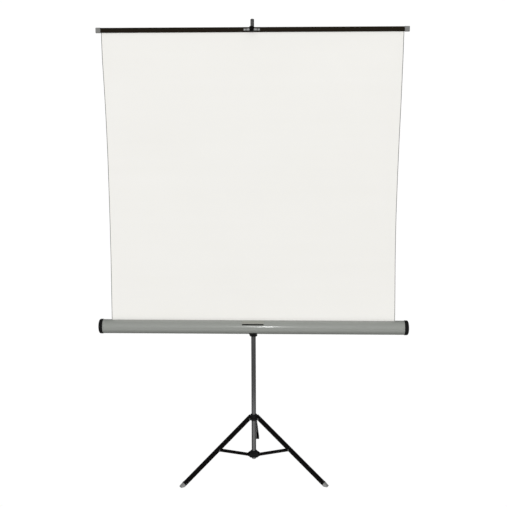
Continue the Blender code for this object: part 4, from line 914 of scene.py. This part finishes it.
def case_plate():
    """A thin pressed plate with a raised rim and a dark strip along its lower edge, bent round the case."""
    r0, a0, a1, half = CASE_R + 0.3 * MM, 110.0, 152.0, 59.0 * MM
    wide = math.radians(a1 - a0) * r0
    ob = prism("case_plate_fine", round_rect(-half, 0, half, wide, 3.0 * MM, 8), 0.5 * MM, None, 0.25 * MM)
    bm = bmesh.new()
    bm.from_mesh(ob.data)
    face = max((f for f in bm.faces if f.normal.z > 0.9), key=lambda f: f.calc_area())
    bmesh.ops.inset_region(bm, faces=[face], thickness=1.4 * MM, depth=0.0)
    bmesh.ops.inset_region(bm, faces=[face], thickness=0.35 * MM, depth=-0.28 * MM)
    geom = lambda: bm.verts[:] + bm.edges[:] + bm.faces[:]
    split = wide - 7.4 * MM
    for k in range(1, 24):
        bmesh.ops.bisect_plane(bm, geom=geom(), dist=1e-7, plane_co=(0, wide * k / 24, 0), plane_no=(0, 1, 0))
    bmesh.ops.bisect_plane(bm, geom=geom(), dist=1e-7, plane_co=(0, split, 0), plane_no=(0, 1, 0))
    dark = []
    for f in bm.faces:
        c = f.calc_center_median()
        dark.append(1 if c.y > split and f.normal.z > 0.3 and abs(c.x) < half - 1.5 * MM else 0)
    for v in bm.verts:
        a = math.radians(a0) + v.co.y / r0
        r = r0 + 0.5 * MM + v.co.z
        v.co = Vector((v.co.x, SCREEN_Y + r * math.cos(a), CASE_Z + r * math.sin(a)))
    bmesh.ops.recalc_face_normals(bm, faces=bm.faces)
    bm.to_mesh(ob.data)
    bm.free()
    done(ob, "mast", "plate_metal", "case_plate", mats=[PLATE, BLACK])
    ob.data.polygons.foreach_set("material_index", dark)
    flash_on.objects.link(ob)


case_plate()

# ---------------------------------------------------------------- extension rod, hook, slat
done(tube("extension_rod_fine", ROD_R, ROD_RI, ROD_Z0, ROD_Z1, None, 64), "rod", "tube_metal", "extension_rod")
cap = soften([(0, ROD_TOP), (5.0 * MM, ROD_TOP - 0.4 * MM), (8.2 * MM, ROD_TOP - 1.8 * MM), (9.7 * MM, ROD_TOP - 4.2 * MM),
              (9.7 * MM, ROD_Z1 + GAP), (8.0 * MM, ROD_Z1 + GAP), (8.0 * MM, ROD_Z1 - 14 * MM), (0, ROD_Z1 - 14 * MM)],
             [0, 4 * MM, 3 * MM, 2 * MM, 0.4 * MM, 0.2 * MM, 0.4 * MM, 0], 5, closed=False)
done(lathe("rod_cap_fine", cap), "rod", "tube_metal", "rod_cap")

HK_T, HK_X = 2.6 * MM, 11.0 * MM
FRONT = SCREEN_Y - SLAT_D / 2
HAN_Z, HAN_H, HAN_OUT, HAN_T = 2.4085, 5.0 * MM, 9.3 * MM, 2.0 * MM
y_tab = -(ROD_R + GAP)
y_in = FRONT - HAN_OUT - HAN_T - 0.5 * MM
y_out = y_in - HK_T
z_lip = HAN_Z - HAN_H - 0.6 * MM
arm0, arm1 = SLAT_Z1 + 2.0 * MM, SLAT_Z1 + 2.0 * MM + HK_T
loop = soften([(y_tab, 2.4000), (y_tab, arm1), (y_out, arm1), (y_out, z_lip - HK_T), (FRONT - 2.2 * MM, z_lip - HK_T),
               (FRONT - 2.2 * MM, z_lip), (y_in, z_lip), (y_in, arm0), (y_tab - HK_T, arm0), (y_tab - HK_T, 2.4000)],
              [0.5 * MM, 3.2 * MM, 3.2 * MM, 3.0 * MM, 0.8 * MM, 0.8 * MM, 0.5 * MM, 0.8 * MM, 0.8 * MM, 0.5 * MM], 6)
hook = prism("slat_hook_fine", loop, HK_X, SIDE, 0.5 * MM)
RV_Z = 2.4115
combine(hook, "DIFFERENCE", rod(2.3 * MM, -20 * MM, -4 * MM, back_at(0, RV_Z)))
done(hook, "rod", "black_enamel", "slat_hook")
yo = y_tab - HK_T - GAP
rv = lathe("hook_rivet_fine", soften([(0, -6.6 * MM), (2.0 * MM, -6.6 * MM), (2.0 * MM, yo), (4.0 * MM, yo), (3.2 * MM, yo - 1.4 * MM),
                                      (0, yo - 2.0 * MM)], [0, 0.3 * MM, 0, 0.3 * MM, 1.2 * MM, 0], 5, closed=False),
           back_at(0, RV_Z), 40)
done(rv, "rod", "zinc_steel", "hook_rivet")

y0, y1 = FRONT, SCREEN_Y + SLAT_D / 2
g, rr, n = 1.2 * MM, 4.0 * MM, 10
loop = (arc(y1 - rr, SLAT_Z1 - rr, rr, 0, 90, n) + arc(y0 + rr, SLAT_Z1 - rr, rr, 90, 180, n)
        + arc(y0 + rr, SLAT_Z0 + rr, rr, 180, 270, n)
        + [(SCREEN_Y - g, SLAT_Z0), (SCREEN_Y - g, SLAT_Z0 + 10 * MM), (SCREEN_Y + g, SLAT_Z0 + 10 * MM), (SCREEN_Y + g, SLAT_Z0)]
        + arc(y1 - rr, SLAT_Z0 + rr, rr, 270, 360, n))
SLAT_HALF, wall = SLAT_LEN / 2 - 4.5 * MM, 1.6 * MM
slat = prism("slat_fine", loop, SLAT_HALF, SIDE,
             holes=[round_rect(y0 + wall, SLAT_Z0 + 11.6 * MM, y1 - wall, SLAT_Z1 - wall, 2.4 * MM, 6)])
combine(slat, "DIFFERENCE", *(rod(2.3 * MM, FRONT - 6 * MM, FRONT + 4.0 * MM, back_at(x, HAN_Z)) for x in (-36.2 * MM, 36.2 * MM)))
done(slat, "rod", "slat_finish", "slat")
for side, s in (("left", -1), ("right", 1)):
    x_out = SLAT_LEN / 2
    x_in = x_out - SLAT_CAP_L
    at = SIDE.copy()
    at.translation = Vector((s * (x_out + x_in) / 2, 0, 0))
    e = 1.2 * MM
    cap = prism(f"slat_cap_{side}_fine", round_rect(y0 - e, SLAT_Z0 - e, y1 + e, SLAT_Z1 + e, 5.2 * MM, 10), SLAT_CAP_L / 2, at, 1.9 * MM)
    pf = SIDE.copy()
    deep = SLAT_HALF + GAP
    pf.translation = Vector((s * (deep + x_in - 5 * MM) / 2, 0, 0))
    pocket = prism("tool", round_rect(y0 - GAP, SLAT_Z0 - GAP, y1 + GAP, SLAT_Z1 + GAP, 4.2 * MM, 8), (deep - x_in + 5 * MM) / 2, pf)
    combine(cap, "DIFFERENCE", pocket)
    done(cap, "rod", "grey_plastic", f"slat_cap_{side}", mats=[CAP_GREY])

HAN_X = 41.0 * MM
a, b = GAP, GAP + HAN_T
path = [(-HAN_X, a), (-30.5 * MM, a), (-24.0 * MM, HAN_OUT), (24.0 * MM, HAN_OUT), (30.5 * MM, a), (HAN_X, a),
        (HAN_X, b), (31.6 * MM, b), (25.1 * MM, HAN_OUT + HAN_T), (-25.1 * MM, HAN_OUT + HAN_T), (-31.6 * MM, b), (-HAN_X, b)]
path = soften([(x, -d) for x, d in path], [0.4 * MM, 4 * MM, 2.5 * MM, 2.5 * MM, 4 * MM, 0.4 * MM,
                                           0.4 * MM, 2.5 * MM, 4 * MM, 4 * MM, 2.5 * MM, 0.4 * MM], 6)
handle = prism("slat_handle_fine", path, HAN_H, Matrix.Translation((0, FRONT, HAN_Z)), 0.55 * MM)
combine(handle, "DIFFERENCE", *(rod(2.3 * MM, FRONT - 6 * MM, FRONT + 4.0 * MM, back_at(x, HAN_Z)) for x in (-36.2 * MM, 36.2 * MM)))
done(handle, "rod", "chrome", "slat_handle")
for i, x in ((1, -36.2 * MM), (2, 36.2 * MM)):
    yh = FRONT - b - GAP
    rv = lathe(f"handle_rivet_{i}_fine", soften([(0, FRONT + 3.6 * MM), (2.0 * MM, FRONT + 3.6 * MM), (2.0 * MM, yh), (3.6 * MM, yh),
                                                 (2.9 * MM, yh - 1.2 * MM), (0, yh - 1.7 * MM)],
                                                [0, 0.3 * MM, 0, 0.3 * MM, 1.0 * MM, 0], 5, closed=False), back_at(x, HAN_Z), 40)
    done(rv, "rod", "chrome", f"handle_rivet_{i}")


# ---------------------------------------------------------------- nodes that stay
def carry_over():
    """Nodes that are not replaced keep their own shape: their finish, welded and with round faces shaded round."""
    group = bpy.data.node_groups.new("round_shading", "GeometryNodeTree")
    group.interface.new_socket("Geometry", in_out="INPUT", socket_type="NodeSocketGeometry")
    group.interface.new_socket("Geometry", in_out="OUTPUT", socket_type="NodeSocketGeometry")
    gi, go = group.nodes.new("NodeGroupInput"), group.nodes.new("NodeGroupOutput")
    weld = group.nodes.new("GeometryNodeMergeByDistance")
    weld.inputs["Distance"].default_value = 2e-6
    angle = group.nodes.new("GeometryNodeInputMeshEdgeAngle")
    test = group.nodes.new("FunctionNodeCompare")
    test.operation = "LESS_THAN"
    test.inputs[1].default_value = math.radians(34)
    faces = group.nodes.new("GeometryNodeSetShadeSmooth")
    edges = group.nodes.new("GeometryNodeSetShadeSmooth")
    edges.domain = "EDGE"
    ln = group.links.new
    ln(gi.outputs[0], weld.inputs[0])
    ln(weld.outputs[0], faces.inputs["Geometry"])
    ln(faces.outputs[0], edges.inputs["Geometry"])
    ln(angle.outputs["Unsigned Angle"], test.inputs[0])
    ln(test.outputs[0], edges.inputs["Shade Smooth"])
    ln(edges.outputs[0], go.inputs[0])
    finish_of = {}
    for row in frame["record"]["materials"]:
        for name in row.get("nodes", []):
            finish_of[name] = row["slot"]
    slots = {r: s for r, s in finish_of.items()}
    named = {"mast_bush": "nylon", "rod_bush": "nylon", "roller_tube": "roller_steel", "roller_plug": "nylon",
             "roller_bush": "nylon", "spring_rod": "zinc_steel", "roller_spring": "zinc_steel",
             "pole_knob_stud": "zinc_steel", "rod_knob_stud": "zinc_steel"}
    for name, ob in frame["nodes"].items():
        if ob.hide_render:
            continue
        slot = slots.get(name) or named.get(name, "zinc_steel")
        for s in ob.material_slots:
            s.material = FINISH_OF_SLOT[slot]
        m = ob.modifiers.new("round_shading", "NODES")
        m.node_group = group


carry_over()
